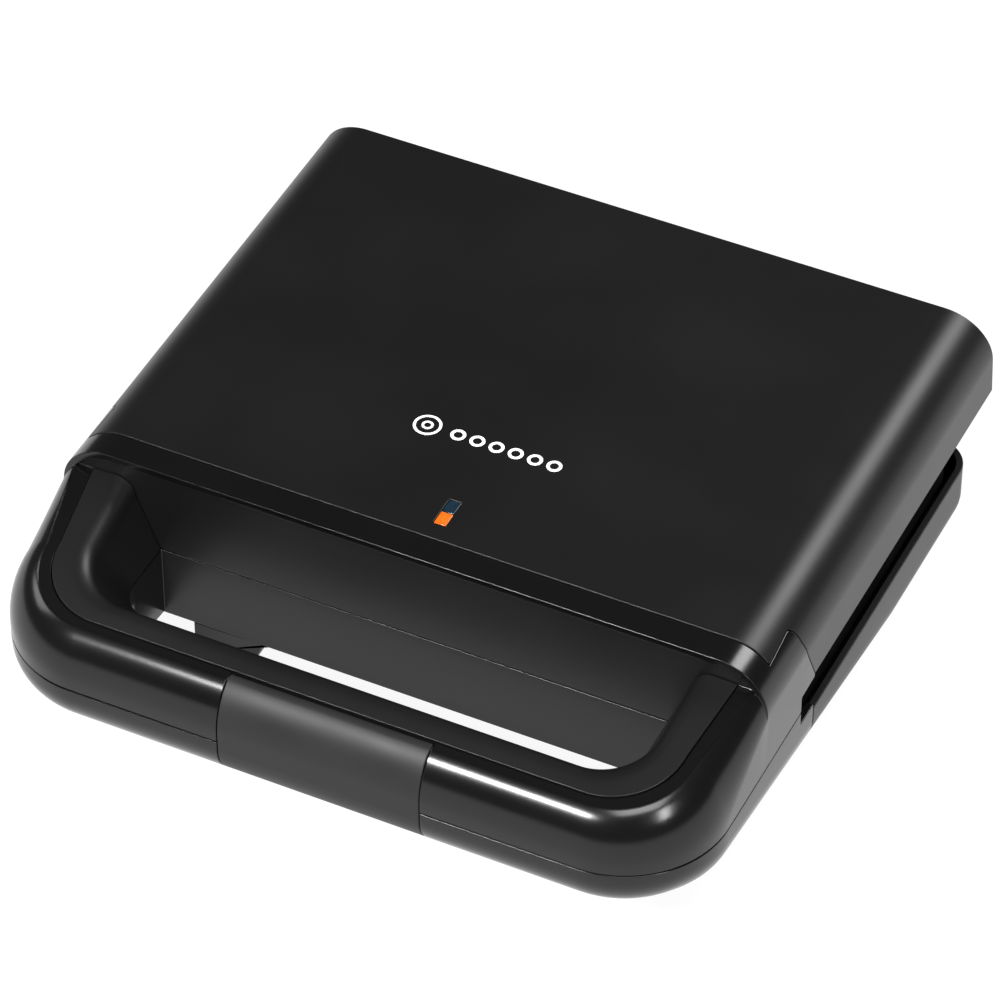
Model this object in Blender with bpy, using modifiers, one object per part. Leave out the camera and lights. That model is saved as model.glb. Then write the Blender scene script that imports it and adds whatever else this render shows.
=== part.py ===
"""Ring-doughnut maker: a hinged pair of housings with six-ring baking plates, closed by a latch clip.

Metres, +Z up. The origin is on the table under the middle of the closed appliance, the handle is at -Y.
Lengths from the handle's front edge are turned into Y by back(); heights are above the table.
"""
import math

import bmesh
import bpy
from mathutils import Vector

MM = 0.001

# Driving dimensions
WIDTH = 240 * MM
DEPTH = 242 * MM
HEIGHT = 80 * MM
HALF = WIDTH / 2
WALL = 2.4 * MM
GAP = 0.3 * MM
PARTING = 40.5 * MM  # where the two handle halves meet outside
INNER_PARTING = 45.5 * MM  # and round the finger opening
HANDLE_CORNER = 34.5 * MM
RECESS_WALL = 63 * MM  # from the front: back wall of the finger opening
RIDGE = 61.5 * MM  # front edge of the strip above that wall
COVER_START = 71.8 * MM
COVER_CORNER = 17 * MM
SKIRT_BOTTOM = 48.5 * MM
REAR_LEAN = 3.5 * MM  # the cover's rear face leans forward by this over its height
TONGUE_END = 98.5 * MM
NOTCH = 88.7 * MM
HOUSING_RIM = 33 * MM
HOUSING_REAR = 229.5 * MM
HOUSING_CORNER = 12.2 * MM
UNDER_ROUND = 15 * MM
FLOOR_LOW = 6 * MM  # underside above the table, behind FLOOR_FLAT
FLOOR_FLAT = 165 * MM
FLOOR_FRONT = 16 * MM
FLOOR_RISE = 16 * MM  # how much higher the underside is at the handle
HINGE_BACK = 234.5 * MM
HINGE_HEIGHT = PARTING
KNUCKLE = 4 * MM
CLIP_HALF = 34 * MM
LATCH_BACK = 9.4 * MM
LATCH_HEIGHT = PARTING + 18.3 * MM
BARREL = 1.9 * MM
PIN = 1.0 * MM
PIN_PLAY = 0.12 * MM
OPENING_HALF = 87 * MM
OPENING_FRONT = 33.4 * MM
PLATE_HALF = 108 * MM
PLATE_FRONT = 71.5 * MM
PLATE_REAR = 213.5 * MM
RING_PITCH = 70 * MM
RING_OUTER = 28 * MM
RING_POST = 9 * MM
RING_DEPTH = 13 * MM
CARRIER_HALF = 114.5 * MM
CARRIER_FRONT = 67.5 * MM
CARRIER_REAR = 224 * MM
PLATE_SPLIT = 0.3 * MM  # half the gap between the two plates
PLATE_SKIN = 2 * MM
PLATE_CORNER = 8 * MM
CARRIER_SET = 0.9 * MM  # how far the carriers' faces stand back from the parting line
CARRIER_DEPTH = 12 * MM
CARRIER_SKIN = 4.4 * MM
TUBE = 3.2 * MM  # radius of the heating elements
SHEET = 0.8 * MM
REFLECTOR_HALF = 102 * MM
REFLECTOR_FRONT = 102 * MM
REFLECTOR_REAR = 200 * MM
REFLECTOR_LIP = 3.5 * MM
LENS_X = 2.7 * MM
LENS_LENGTH = 5.5 * MM
LENS_STARTS = (78.4 * MM, 84.2 * MM)
ARM_RISE = 0.2  # how steeply the arms' top climbs towards the cover
ARM_INNER = 104 * MM
BLOCK_MARGIN = 3 * MM  # how far the latch and catch blocks reach past the clip
FOOT_X = 92 * MM
FOOT_FRONT = 93 * MM
FOOT_REAR = 206 * MM
CORD_X = -84 * MM
CORD_HEIGHT = 21 * MM
BASE_SCREW_X = 60 * MM
BASE_SCREW_ROWS = (88 * MM, 206 * MM)
CARRIER_SCREW_XS = (-96 * MM, -30 * MM, 30 * MM, 96 * MM)
CARRIER_SCREW_ROW = 217.2 * MM
HINGE_X = 60 * MM
LEAF = 2 * MM
LEAF_HALF = 11 * MM
TAB_HALF = 5 * MM
TAB_END = 206 * MM
PIN_RADIUS = 1.5 * MM
FINE, COARSE = 16, 12  # facets of small round pieces
RING_FACETS = 20

for old in list(bpy.data.objects):
    bpy.data.objects.remove(old, do_unlink=True)

parts = bpy.data.collections.new("donut_maker")
cutters = bpy.data.collections.new("cutters")
for collection in (parts, cutters):
    bpy.context.scene.collection.children.link(collection)
cutters.hide_render = True


def finish(name, rgb, roughness, metallic=0.0):
    """A plain Principled material."""
    material = bpy.data.materials.new(name)
    material.use_nodes = True
    shader = material.node_tree.nodes["Principled BSDF"]
    shader.inputs["Base Color"].default_value = (*rgb, 1.0)
    shader.inputs["Roughness"].default_value = roughness
    shader.inputs["Metallic"].default_value = metallic
    return material


def back(distance):
    """Y of a point this far behind the handle's front edge."""
    return distance - DEPTH / 2


def in_mm(points):
    """Pairs given in millimetres."""
    return [(a * MM, b * MM) for a, b in points]


def side_view(points):
    """Pairs of distance from the handle's front and height above the parting line, in millimetres."""
    return [(back(distance), PARTING + height) for distance, height in in_mm(points)]


def mix(a, b, t):
    return a + (b - a) * t


def ramp(value, low, high):
    return min(1.0, max(0.0, (value - low) / (high - low)))


def add_object(name, bm, material, cutter=False, at=None):
    """Makes the object, with its origin at `at` so that a moving piece turns about its joint."""
    bmesh.ops.remove_doubles(bm, verts=bm.verts, dist=1e-6)
    bmesh.ops.recalc_face_normals(bm, faces=bm.faces)
    origin = Vector(at) if at else Vector((0, 0, 0))
    bmesh.ops.translate(bm, verts=bm.verts, vec=-origin)
    mesh = bpy.data.meshes.new(name)
    bm.to_mesh(mesh)
    bm.free()
    mesh.shade_smooth()
    mesh.set_sharp_from_angle(angle=math.radians(35))
    obj = bpy.data.objects.new(name, mesh)
    obj.location = origin
    (cutters if cutter else parts).objects.link(obj)
    if cutter:
        obj.hide_render = True
        obj.display_type = "WIRE"
    else:
        mesh.materials.append(finish(name, *material))
    return obj


def boolean(target, other, operation="DIFFERENCE"):
    modifier = target.modifiers.new(other.name, "BOOLEAN")
    modifier.operation = operation
    modifier.solver = "EXACT"
    modifier.object = other


def arc(centre, radius, start, end, steps):
    """Points on a circle in a plane, angles in degrees."""
    angles = [math.radians(mix(start, end, i / steps)) for i in range(steps + 1)]
    return [(centre[0] + radius * math.cos(a), centre[1] + radius * math.sin(a)) for a in angles]


def prism(name, outline, axis, start, end, material=None, shear=None, at=None):
    """A flat outline swept along X, Y or Z. shear(point) moves each vertex afterwards."""
    places = {
        "X": lambda s, p: (s, p[0], p[1]),
        "Y": lambda s, p: (p[0], s, p[1]),
        "Z": lambda s, p: (p[0], p[1], s),
    }
    bm = bmesh.new()
    base = bm.faces.new([bm.verts.new(places[axis](start, point)) for point in outline])
    far = bmesh.ops.extrude_face_region(bm, geom=[base])["geom"]
    step = Vector(places[axis](end - start, (0, 0)))
    bmesh.ops.translate(bm, verts=[v for v in far if isinstance(v, bmesh.types.BMVert)], vec=step)
    if shear:
        for vert in bm.verts:
            vert.co = shear(vert.co)
    return add_object(name, bm, material, cutter=material is None, at=at)


def box(name, low, high, material=None):
    outline = [(low[0], low[1]), (high[0], low[1]), (high[0], high[1]), (low[0], high[1])]
    return prism(name, outline, "Z", low[2], high[2], material)


def rounded_plan(half, front, rear, radius):
    """A rectangle seen from above, with round corners."""
    low, high, side = front + radius, rear - radius, half - radius
    points = []
    for centre, start in (((side, high), 0), ((-side, high), 90), ((-side, low), 180), ((side, low), 270)):
        points += arc(centre, radius, start, start + 90, 4)
    return points


def turned(name, profile, centre, material=None, axis="Z", facets=RING_FACETS, at=None):
    """A (radius, height) profile with a Screw modifier, as its own evaluated mesh, laid along an axis."""
    mesh = bpy.data.meshes.new(name + "_profile")
    mesh.from_pydata([(r, 0, h) for r, h in profile], [(i, i + 1) for i in range(len(profile) - 1)], [])
    spun = bpy.data.objects.new(name + "_profile", mesh)
    bpy.context.scene.collection.objects.link(spun)
    screw = spun.modifiers.new("turn", "SCREW")
    screw.steps = screw.render_steps = facets
    screw.use_merge_vertices = True
    screw.merge_threshold = 0.00001
    bpy.context.view_layer.update()
    graph = bpy.context.evaluated_depsgraph_get()
    bm = bmesh.new()
    bm.from_mesh(spun.evaluated_get(graph).to_mesh())
    bpy.data.objects.remove(spun, do_unlink=True)
    turn = {
        "Z": lambda p: p,
        "X": lambda p: Vector((p.z, p.y, -p.x)),
        "Y": lambda p: Vector((p.x, p.z, -p.y)),
    }
    for vert in bm.verts:
        vert.co = turn[axis](vert.co) + Vector(centre)
    return add_object(name, bm, material, cutter=material is None, at=at)


def rod(name, radius, centre, length, axis, material=None, facets=RING_FACETS, at=None):
    """A plain round bar centred on a point."""
    profile = [(0, length / 2), (radius, length / 2), (radius, -length / 2), (0, -length / 2)]
    return turned(name, profile, centre, material, axis, facets, at)


def u_line(half, rear_half, front, radius, rear, height, steps=7):
    """A U seen from above: up the left side, round the front, back along the right side.

    half is the half width at the corner and rear_half the one at the rear end; height(distance) gives Z.
    """
    right = [(half, front + radius), (rear_half, rear)]
    corner = arc((half - radius, front + radius), radius, 270, 360, steps)[:-1]
    side = corner + right
    line = [(-x, y) for x, y in reversed(side)] + side
    return [Vector((x, back(y), height(y))) for x, y in line]


def loft(name, lines, material=None, at=None):
    """A closed section swept along lines that all have the same number of points, with flat ends."""
    bm = bmesh.new()
    rows = [[bm.verts.new(point) for point in line] for line in lines]
    for row, following in zip(rows, rows[1:] + rows[:1]):
        for i in range(len(row) - 1):
            bm.faces.new((row[i], row[i + 1], following[i + 1], following[i]))
    bm.faces.new([row[0] for row in rows])
    bm.faces.new([row[-1] for row in reversed(rows)])
    return add_object(name, bm, material, cutter=material is None, at=at)


def underside(distance):
    """Height of the housing's underside, which rises towards the handle."""
    return FLOOR_LOW + FLOOR_RISE * (1 - ramp(distance, FLOOR_FRONT, FLOOR_FLAT))


def arm_top(distance):
    """Height of the arms' and the bar's top, which rises towards the cover."""
    return PARTING + 20.5 * MM + ARM_RISE * (distance - 11.5 * MM)


# ---- finishes: colour, roughness, metallic ----
SATIN = ((0.012, 0.012, 0.013), 0.38)
GLOSS = ((0.008, 0.008, 0.009), 0.18)
SOFT = ((0.015, 0.015, 0.015), 0.6)
COATED = ((0.02, 0.02, 0.021), 0.45, 0.4)
STEEL = ((0.6, 0.6, 0.6), 0.35, 1.0)
ALUMINIUM = ((0.75, 0.75, 0.76), 0.4, 1.0)
RUBBER = ((0.02, 0.02, 0.02), 0.8)
CERAMIC = ((0.75, 0.72, 0.66), 0.6)
ORANGE = ((0.7, 0.16, 0.01), 0.25)
NAVY = ((0.004, 0.014, 0.02), 0.15)
GLASS = ((0.8, 0.55, 0.3), 0.1)
NYLON = ((0.03, 0.03, 0.032), 0.55)


# ---- section of the cover, shared by the strip and the tongues ----
def cover_section(inset, bottom):
    """Outline in X and Z, from the lower left corner over the top to the lower right one."""
    radius = COVER_CORNER - inset
    centre = (HALF - COVER_CORNER, HEIGHT - COVER_CORNER)
    right = arc(centre, radius, 90, 0, 8) + [(HALF - inset, bottom)]
    return [(-x, z) for x, z in reversed(right)] + right


def lean(point):
    """Leans the cover's rear face: the higher, the further forward."""
    share = ramp(point.z, SKIRT_BOTTOM, HEIGHT)
    moved = REAR_LEAN * share if point.y > 0 else 0
    return Vector((point.x, point.y - moved, point.z))


def tongue_outline(grow):
    """Side view of a tongue, in distance from the front and height."""
    low = PARTING + 8.1 * MM
    high = PARTING + 34.4 * MM + grow
    front, foot, shelf = COVER_START - 6 * MM, low - 20 * MM, high - 0.9 * MM
    end = TONGUE_END + grow
    points = [(front, foot), (end, foot), (end, low)]
    points += [(y + grow, PARTING + z) for y, z in in_mm([(95.4, 14.3), (91.6, 22), (89.2, 28.6)])]
    tip, tip_length, tip_height = 86.2 * MM, 2.6 * MM + grow, 4 * MM
    for angle in (20, 45, 70, 90):
        turn = math.radians(angle)
        points.append((tip + tip_length * math.cos(turn), high - tip_height + tip_height * math.sin(turn)))
    points += [(COVER_START, shelf), (front, shelf)]
    return [(back(y), z) for y, z in points]


def make_top_cover():
    section = cover_section(0, SKIRT_BOTTOM)
    cover = prism("top_cover", section, "Y", back(COVER_START), back(DEPTH), SATIN, lean)
    hollow = prism("cover_hollow", cover_section(WALL, SKIRT_BOTTOM - 5 * MM), "Y",
                   back(COVER_START - 2 * MM), back(DEPTH - WALL), shear=lean)
    boolean(cover, hollow)
    for side in (-1, 1):
        slot = prism(f"tongue_slot_{side}", tongue_outline(GAP), "X", side * 108 * MM, side * 124 * MM)
        boolean(cover, slot)
    window_half, window_front, window_rear = 2.3 * MM, 78.1 * MM, 90 * MM
    window = box("lamp_window", (LENS_X - window_half, back(window_front), HEIGHT - 5 * MM),
                 (LENS_X + window_half, back(window_rear), HEIGHT + 2 * MM))
    boolean(cover, window)
    post, bore, bore_length = 4 * MM, 1.6 * MM, 12 * MM
    low, high = PARTING + 5.6 * MM, HEIGHT - 1.5 * MM
    for index, x in enumerate(CARRIER_SCREW_XS):
        place = (x, back(CARRIER_SCREW_ROW), (low + high) / 2)
        boolean(cover, rod(f"cover_post_{index}", post, place, high - low, "Z", facets=COARSE), "UNION")
        place = (x, back(CARRIER_SCREW_ROW), low)
        boolean(cover, rod(f"cover_post_bore_{index}", bore, place, bore_length, "Z", facets=COARSE))


def make_lamps():
    """Two lenses with a flange under the cover, a lamp below each and the bracket that holds them."""
    ceiling = HEIGHT - WALL - GAP
    stem, flange, flange_low, top = 2.0 * MM, 3.5 * MM, ceiling - 1.6 * MM, HEIGHT - 0.1 * MM
    for name, start, material in zip(("power_lens", "ready_lens"), LENS_STARTS, (ORANGE, NAVY)):
        right = [(flange, flange_low), (flange, ceiling), (stem, ceiling), (stem, top)]
        outline = [(LENS_X + x, z) for x, z in right] + [(LENS_X - x, z) for x, z in reversed(right)]
        prism(name, outline, "Y", back(start), back(start + LENS_LENGTH), material)
    low = HEIGHT - 14 * MM
    half, leg = 9 * MM, 2 * MM
    right = [(half, low), (half, ceiling), (half - leg, ceiling), (half - leg, low + leg)]
    outline = [(LENS_X + x, z) for x, z in right] + [(LENS_X - x, z) for x, z in reversed(right)]
    holder = prism("lamp_holder", outline, "Y", back(77 * MM), back(91 * MM), NYLON)
    profile = in_mm([(0, 10), (1.5, 9.4), (2.2, 7.6), (2.2, -4), (0, -4)])
    for name, start in zip(("power_lamp", "ready_lamp"), LENS_STARTS):
        place = (LENS_X, back(start + LENS_LENGTH / 2), low - 1 * MM)
        turned(name, profile, place, GLASS, facets=COARSE)
        boolean(holder, rod(name + "_hole", 2.5 * MM, place, 20 * MM, "Z", facets=COARSE))


# ---- handle band: the rolled outer edge of the upper half ----
BAND_START = 4 * MM
BAND_START_REAR = 20.7 * MM
BAND_FRONT, BAND_CORNER, BAND_REAR = 8.2 * MM, 10.5 * MM, 3.7 * MM
BAND_ANGLE, BAND_ANGLE_REAR = math.radians(80), math.radians(38.5)
BAND_STEPS = 6


def band_share(step, angle):
    """How far across and how far up a point of the rolled section is, each from 0 to 1."""
    turn = angle * step / BAND_STEPS
    return (1 - math.cos(turn)) / (1 - math.cos(angle)), math.sin(turn) / math.sin(angle)


def band_line(step, rear):
    """Line `step` of the band, from its straight foot (0) to its inner edge (BAND_STEPS)."""
    across, up = band_share(step, BAND_ANGLE)
    across_rear, up_rear = band_share(step, BAND_ANGLE_REAR)

    def height(distance):
        t = ramp(distance, HANDLE_CORNER, RIDGE)
        low = PARTING + mix(BAND_START, BAND_START_REAR, t)
        return mix(low, arm_top(distance), mix(up, up_rear, t))

    return u_line(HALF - BAND_CORNER * across, HALF - BAND_REAR * across_rear, BAND_FRONT * across,
                  HANDLE_CORNER - 10 * MM * across, rear, height)


def band_outline():
    """The same band cut through the middle of the bar, as distance and height."""
    points = []
    for step in range(BAND_STEPS + 1):
        across, up = band_share(step, BAND_ANGLE)
        y = BAND_FRONT * across
        points.append((y, mix(PARTING + BAND_START, arm_top(y), up)))
    return points


def level(height):
    return lambda distance: height


def below_top(drop):
    return lambda distance: arm_top(distance) - drop


def make_upper_frame():
    rear = RIDGE
    foot = PARTING + GAP / 2
    lines = [u_line(HALF, HALF, 0, HANDLE_CORNER, rear, level(foot))]
    lines += [band_line(step, rear) for step in range(BAND_STEPS + 1)]
    lines += [
        u_line(109.5 * MM, 116.3 * MM, 8.2 * MM, 24.5 * MM, rear, below_top(0.5 * MM)),
        u_line(106 * MM, 109.6 * MM, 11.3 * MM, 23.5 * MM, rear, below_top(0.5 * MM)),
        u_line(106 * MM, 109.6 * MM, 11.3 * MM, 23.5 * MM, rear, below_top(2.9 * MM)),
        u_line(102 * MM, 105.6 * MM, 15 * MM, 21 * MM, rear, below_top(2.9 * MM)),
        u_line(102 * MM, 105.6 * MM, 15 * MM, 21 * MM, rear, below_top(4.9 * MM)),
        u_line(113.5 * MM, 114.2 * MM, 5.5 * MM, 29 * MM, rear, below_top(6.5 * MM)),
        u_line(HALF - WALL, HALF - WALL, WALL, HANDLE_CORNER - WALL, rear, level(PARTING + 4 * MM)),
        u_line(HALF - WALL, HALF - WALL, WALL, HANDLE_CORNER - WALL, rear, level(foot)),
    ]
    frame = loft("upper_handle_frame", lines, GLOSS)
    strip = prism("strip_and_tongues", cover_section(0, foot), "Y", back(RIDGE), back(TONGUE_END))
    boolean(strip, prism("strip_hollow", cover_section(WALL, foot - 5 * MM), "Y", back(RIDGE - 3 * MM),
                         back(TONGUE_END + 3 * MM)))
    top = HEIGHT + 5 * MM
    beyond, outside = back(TONGUE_END + 5 * MM), HALF + 10 * MM
    tongue = tongue_outline(0)[2:-1]
    ahead = back(COVER_START - GAP)
    behind = [(ahead, top), (ahead, tongue[-1][1])] + list(reversed(tongue))
    behind += [(beyond, tongue[0][1]), (beyond, top)]
    boolean(strip, prism("above_tongues", behind, "X", -outside, outside))
    below = [(back(NOTCH), PARTING - 5 * MM), (back(NOTCH), PARTING + 6.3 * MM),
             (beyond, PARTING + 7 * MM), (beyond, PARTING - 5 * MM)]
    boolean(strip, prism("under_tongues", below, "X", -outside, outside))
    boolean(frame, strip, "UNION")
    slab = prism("recess_wall", cover_section(1 * MM, INNER_PARTING + GAP / 2), "Y", back(RECESS_WALL),
                 back(RECESS_WALL + WALL))
    boolean(frame, slab, "UNION")
    block_half = CLIP_HALF + BLOCK_MARGIN
    block = side_view([(1, 0.15), (1, 5), (2.5, 12), (5.5, 16.5), (9, 17.4), (13.5, 17.4), (13.5, 0.15)])
    boolean(frame, prism("latch_block", block, "X", -block_half, block_half), "UNION")
    hinge = (back(LATCH_BACK), LATCH_HEIGHT)
    room = side_view([(-3, -1), (-3, 25), (11.65, 25)])
    room += arc(hinge, BARREL + 0.35 * MM, 0, -90, 4)
    room += side_view([(6.4, 14.6), (4.3, 9.8), (3.2, 4), (3.2, -1)])
    boolean(frame, prism("latch_recess", room, "X", -CLIP_HALF - GAP, CLIP_HALF + GAP))
    place = (0, *hinge)
    boolean(frame, rod("latch_pin_hole", PIN + PIN_PLAY, place, 2 * (CLIP_HALF + 4 * MM), "X", facets=FINE))
    rod("latch_pin", PIN, place, 2 * (CLIP_HALF + 3.6 * MM), "X", STEEL, facets=FINE)


def make_liner():
    rear = RECESS_WALL - GAP
    low = INNER_PARTING + GAP / 2
    lines = [
        u_line(105.7 * MM, 109.3 * MM, 11.6 * MM, 23.2 * MM, rear, below_top(0)),
        u_line(99.5 * MM, 101.5 * MM, 15.5 * MM, 20 * MM, rear, below_top(-0.3 * MM)),
        u_line(97.3 * MM, 99 * MM, 17.6 * MM, 19.5 * MM, rear, below_top(0.4 * MM)),
        u_line(95.6 * MM, 97 * MM, 19.6 * MM, 19 * MM, rear, below_top(2.3 * MM)),
        u_line(94.2 * MM, 94.8 * MM, 22.4 * MM, 18 * MM, rear, below_top(6 * MM)),
        u_line(OPENING_HALF, OPENING_HALF, OPENING_FRONT, 12 * MM, rear, level(low)),
        u_line(89.4 * MM, 89.4 * MM, 31 * MM, 13 * MM, rear, level(low)),
        u_line(96.4 * MM, 97 * MM, 20 * MM, 18.5 * MM, rear, below_top(6.6 * MM)),
        u_line(99 * MM, 100.5 * MM, 17 * MM, 20 * MM, rear, below_top(2.6 * MM)),
        u_line(105.7 * MM, 109.3 * MM, 11.6 * MM, 23.2 * MM, rear, below_top(2.3 * MM)),
    ]
    loft("upper_handle_liner", lines, SATIN)


def under_point(inset, angle):
    """How far in from the side and how far above the underside a point of the lower rounding is."""
    radius = UNDER_ROUND - inset
    return UNDER_ROUND - radius * math.cos(angle), UNDER_ROUND - radius * math.sin(angle)


def under_line(inset, angle, rear):
    across, up = under_point(inset, angle)
    return u_line(HALF - across, HALF - across, across, HANDLE_CORNER - across, rear,
                  lambda distance: underside(distance) + up)


def lower_section(distance, inset, top):
    """Outline of the lower half across X and Z."""
    points = []
    for step in range(6):
        across, up = under_point(inset, math.radians(18 * step))
        points.append((HALF - across, underside(distance) + up))
    right = [(HALF - inset, top)] + points
    return right + [(-x, z) for x, z in reversed(right)]


def make_lower_frame():
    rear = TONGUE_END
    top = PARTING - GAP / 2
    inner_top = INNER_PARTING - GAP / 2
    bends = [math.radians(18 * step) for step in range(6)]
    lines = [u_line(HALF, HALF, 0, HANDLE_CORNER, rear, level(top))]
    lines += [under_line(0, angle, rear) for angle in bends]
    lines += [
        u_line(89 * MM, 89 * MM, 31.4 * MM, 13 * MM, rear, underside),
        u_line(OPENING_HALF, OPENING_HALF, OPENING_FRONT, 12 * MM, rear, lambda d: underside(d) + 2 * MM),
        u_line(OPENING_HALF, OPENING_HALF, OPENING_FRONT, 12 * MM, rear, level(inner_top)),
        u_line(89.4 * MM, 89.4 * MM, 31 * MM, 13 * MM, rear, level(inner_top)),
        u_line(89.8 * MM, 89.8 * MM, 30.6 * MM, 13.4 * MM, rear, lambda d: underside(d) + WALL),
    ]
    lines += [under_line(WALL, angle, rear) for angle in reversed(bends)]
    lines += [u_line(HALF - WALL, HALF - WALL, WALL, HANDLE_CORNER - WALL, rear, level(top))]
    frame = loft("lower_handle_frame", lines, GLOSS)
    wall = prism("lower_wall", lower_section(RECESS_WALL, 1 * MM, PARTING - 1 * MM), "Y", back(RECESS_WALL),
                 back(RECESS_WALL + WALL))
    boolean(frame, wall, "UNION")
    ledge = box("lower_wall_top", (-OPENING_HALF - 1 * MM, back(RECESS_WALL), PARTING - 6 * MM),
                (OPENING_HALF + 1 * MM, back(RECESS_WALL + WALL), inner_top))
    boolean(frame, ledge, "UNION")
    block_half = CLIP_HALF + BLOCK_MARGIN
    block = side_view([(1, -0.15), (1, -3.5), (4.5, -12), (8, -15), (13.5, -17), (13.5, -0.15)])
    boolean(frame, prism("catch_block", block, "X", -block_half, block_half), "UNION")
    beyond, outside = back(TONGUE_END + 5 * MM), HALF + 10 * MM
    boolean(frame, box("behind_arms", (-ARM_INNER, back(RECESS_WALL + WALL), -5 * MM),
                       (ARM_INNER, beyond, PARTING + 15 * MM)))
    boolean(frame, box("side_notch", (-outside, back(NOTCH), PARTING - 5.4 * MM),
                       (outside, beyond, PARTING + 5 * MM)))
    boolean(frame, box("catch_recess", (-CLIP_HALF - GAP, back(-3 * MM), -1 * MM),
                       (CLIP_HALF + GAP, back(7.5 * MM), PARTING + 3 * MM)))


def make_clip():
    outer = [(0, PARTING - 3.2 * MM)] + band_outline()
    outer = [(back(y), z) for y, z in outer]
    hinge = (back(LATCH_BACK), LATCH_HEIGHT)
    outer += arc(hinge, BARREL, 80, -90, 9)
    outer += side_view([(6.7, 15.2), (4.0, 9.8), (2.9, 4), (2.9, -3.5)])
    tip = 7.2 * MM
    inner_bends, outer_bends = [], []
    for step in range(5):
        angle = math.radians(58 * step / 4)
        for points, inset in ((inner_bends, 2.6 * MM), (outer_bends, 0)):
            across, up = under_point(inset, angle)
            points.append((back(min(across, tip)), underside(FLOOR_FRONT) + up))
    outer += inner_bends + list(reversed(outer_bends))
    axis = (0, *hinge)
    clip = prism("latch_clip", outer, "X", -CLIP_HALF, CLIP_HALF, SOFT, at=axis)
    boolean(clip, rod("clip_hole", PIN + PIN_PLAY, axis, 2 * (CLIP_HALF + 4 * MM), "X", facets=FINE))


def tray(name, inset, top, material=None, front=RECESS_WALL + WALL + GAP):
    """A tray's outer or inner form: plan lines from the rim down and round into the floor."""
    bm = bmesh.new()
    rows = []
    places = [(inset, lambda d: top)]
    for step in range(6):
        across, up = under_point(inset, math.radians(18 * step))
        places.append((across, lambda d, up=up: underside(d) + up))
    for across, height in places:
        radius = max(HOUSING_CORNER - across, 1 * MM)
        rear = HOUSING_REAR - across
        plan = [(HALF - across, front), (HALF - across, FLOOR_FLAT)]
        plan += arc((HALF - across - radius, rear - radius), radius, 0, 90, 4)
        plan += [(-x, y) for x, y in reversed(plan)]
        rows.append([bm.verts.new((x, back(y), height(y))) for x, y in plan])
    for row, following in zip(rows, rows[1:]):
        for i in range(len(row) - 1):
            bm.faces.new((row[i], row[i + 1], following[i + 1], following[i]))
    bm.faces.new(rows[0])
    last = rows[-1]
    bm.faces.new((last[0], last[1], last[-2], last[-1]))
    bm.faces.new(last[1:-1])
    bm.faces.new([row[0] for row in rows] + [row[-1] for row in reversed(rows)])
    return add_object(name, bm, material, cutter=material is None)


def make_housing():
    housing = tray("lower_housing", 0, HOUSING_RIM, SATIN)
    boolean(housing, tray("housing_hollow", WALL, HOUSING_RIM + 5 * MM, front=RECESS_WALL))
    for side in (-1, 1):
        edge = [side * (ARM_INNER - GAP), side * (HALF + 10 * MM)]
        boolean(housing, box(f"frame_seat_{side}", (min(edge), back(RECESS_WALL), -5 * MM),
                             (max(edge), back(TONGUE_END + GAP), PARTING + 5 * MM)))
    boolean(housing, rod("cord_hole", 5.3 * MM, (CORD_X, back(HOUSING_REAR), CORD_HEIGHT), 12 * MM, "Y"))
    for name, x, distance in screw_places():
        low = underside(distance)
        place = (x, back(distance), low)
        boolean(housing, rod(name + "_pocket", 1.8 * MM, place, 12 * MM, "Z", facets=COARSE))


def screw_places():
    places = [(side * BASE_SCREW_X, distance) for distance in BASE_SCREW_ROWS for side in (-1, 1)]
    return [(f"base_screw_{index + 1}", *place) for index, place in enumerate(places)]


def make_feet_and_screws():
    puck = in_mm([(0, 3), (8, 3), (7, 0.8), (6.2, 0), (0, 0)])
    for side, word in ((-1, "left"), (1, "right")):
        for distance, where in ((FOOT_FRONT, "front"), (FOOT_REAR, "rear")):
            place = (side * FOOT_X, back(distance), 0)
            foot = turned(f"{where}_foot_{word}", puck, place, RUBBER, facets=FINE)
            for vert in foot.data.vertices:
                if vert.co.z > 2 * MM:
                    vert.co.z = underside(vert.co.y + DEPTH / 2) - GAP
    screw = in_mm([(0, 8), (1.5, 8), (1.5, 0), (3, -0.6), (3, -1.4), (2.2, -2), (0, -2)])
    for name, x, distance in screw_places():
        low = underside(distance) - GAP
        turned(name, screw, (x, back(distance), low), STEEL, facets=COARSE)
    bush = in_mm([(3.4, -4.5), (3.4, 6), (5.6, 6), (7, 4.5), (7.4, 0.3), (5, 0.3), (5, -4.5), (3.4, -4.5)])
    turned("cord_inlet_bush", bush, (CORD_X, back(HOUSING_REAR), CORD_HEIGHT), RUBBER, "Y")


def make_cord_clip():
    """A hook that the lead is tucked into, under the front left of the housing."""
    top = underside(70 * MM) - 1 * MM
    hook = in_mm([(-77.6, 6), (-75.6, 4), (-60, 4), (-56.5, 7.5), (-54.6, 12), (-53, 15.2), (-50.2, 17.6)])
    outline = [(hook[0][0], top)] + hook + [(-46.3 * MM, top)]

    def fit(point):
        roof = underside(point.y + DEPTH / 2) - GAP
        return Vector((point.x, point.y, roof if point.z > top - 0.1 * MM else point.z))

    prism("cord_clip", outline, "Y", back(64.5 * MM), back(75 * MM), NYLON, fit)


def ring_places():
    middle = (PLATE_FRONT + PLATE_REAR) / 2
    return [(column * RING_PITCH, middle + row * RING_PITCH / 2) for row in (-1, 1) for column in (-1, 0, 1)]


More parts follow.
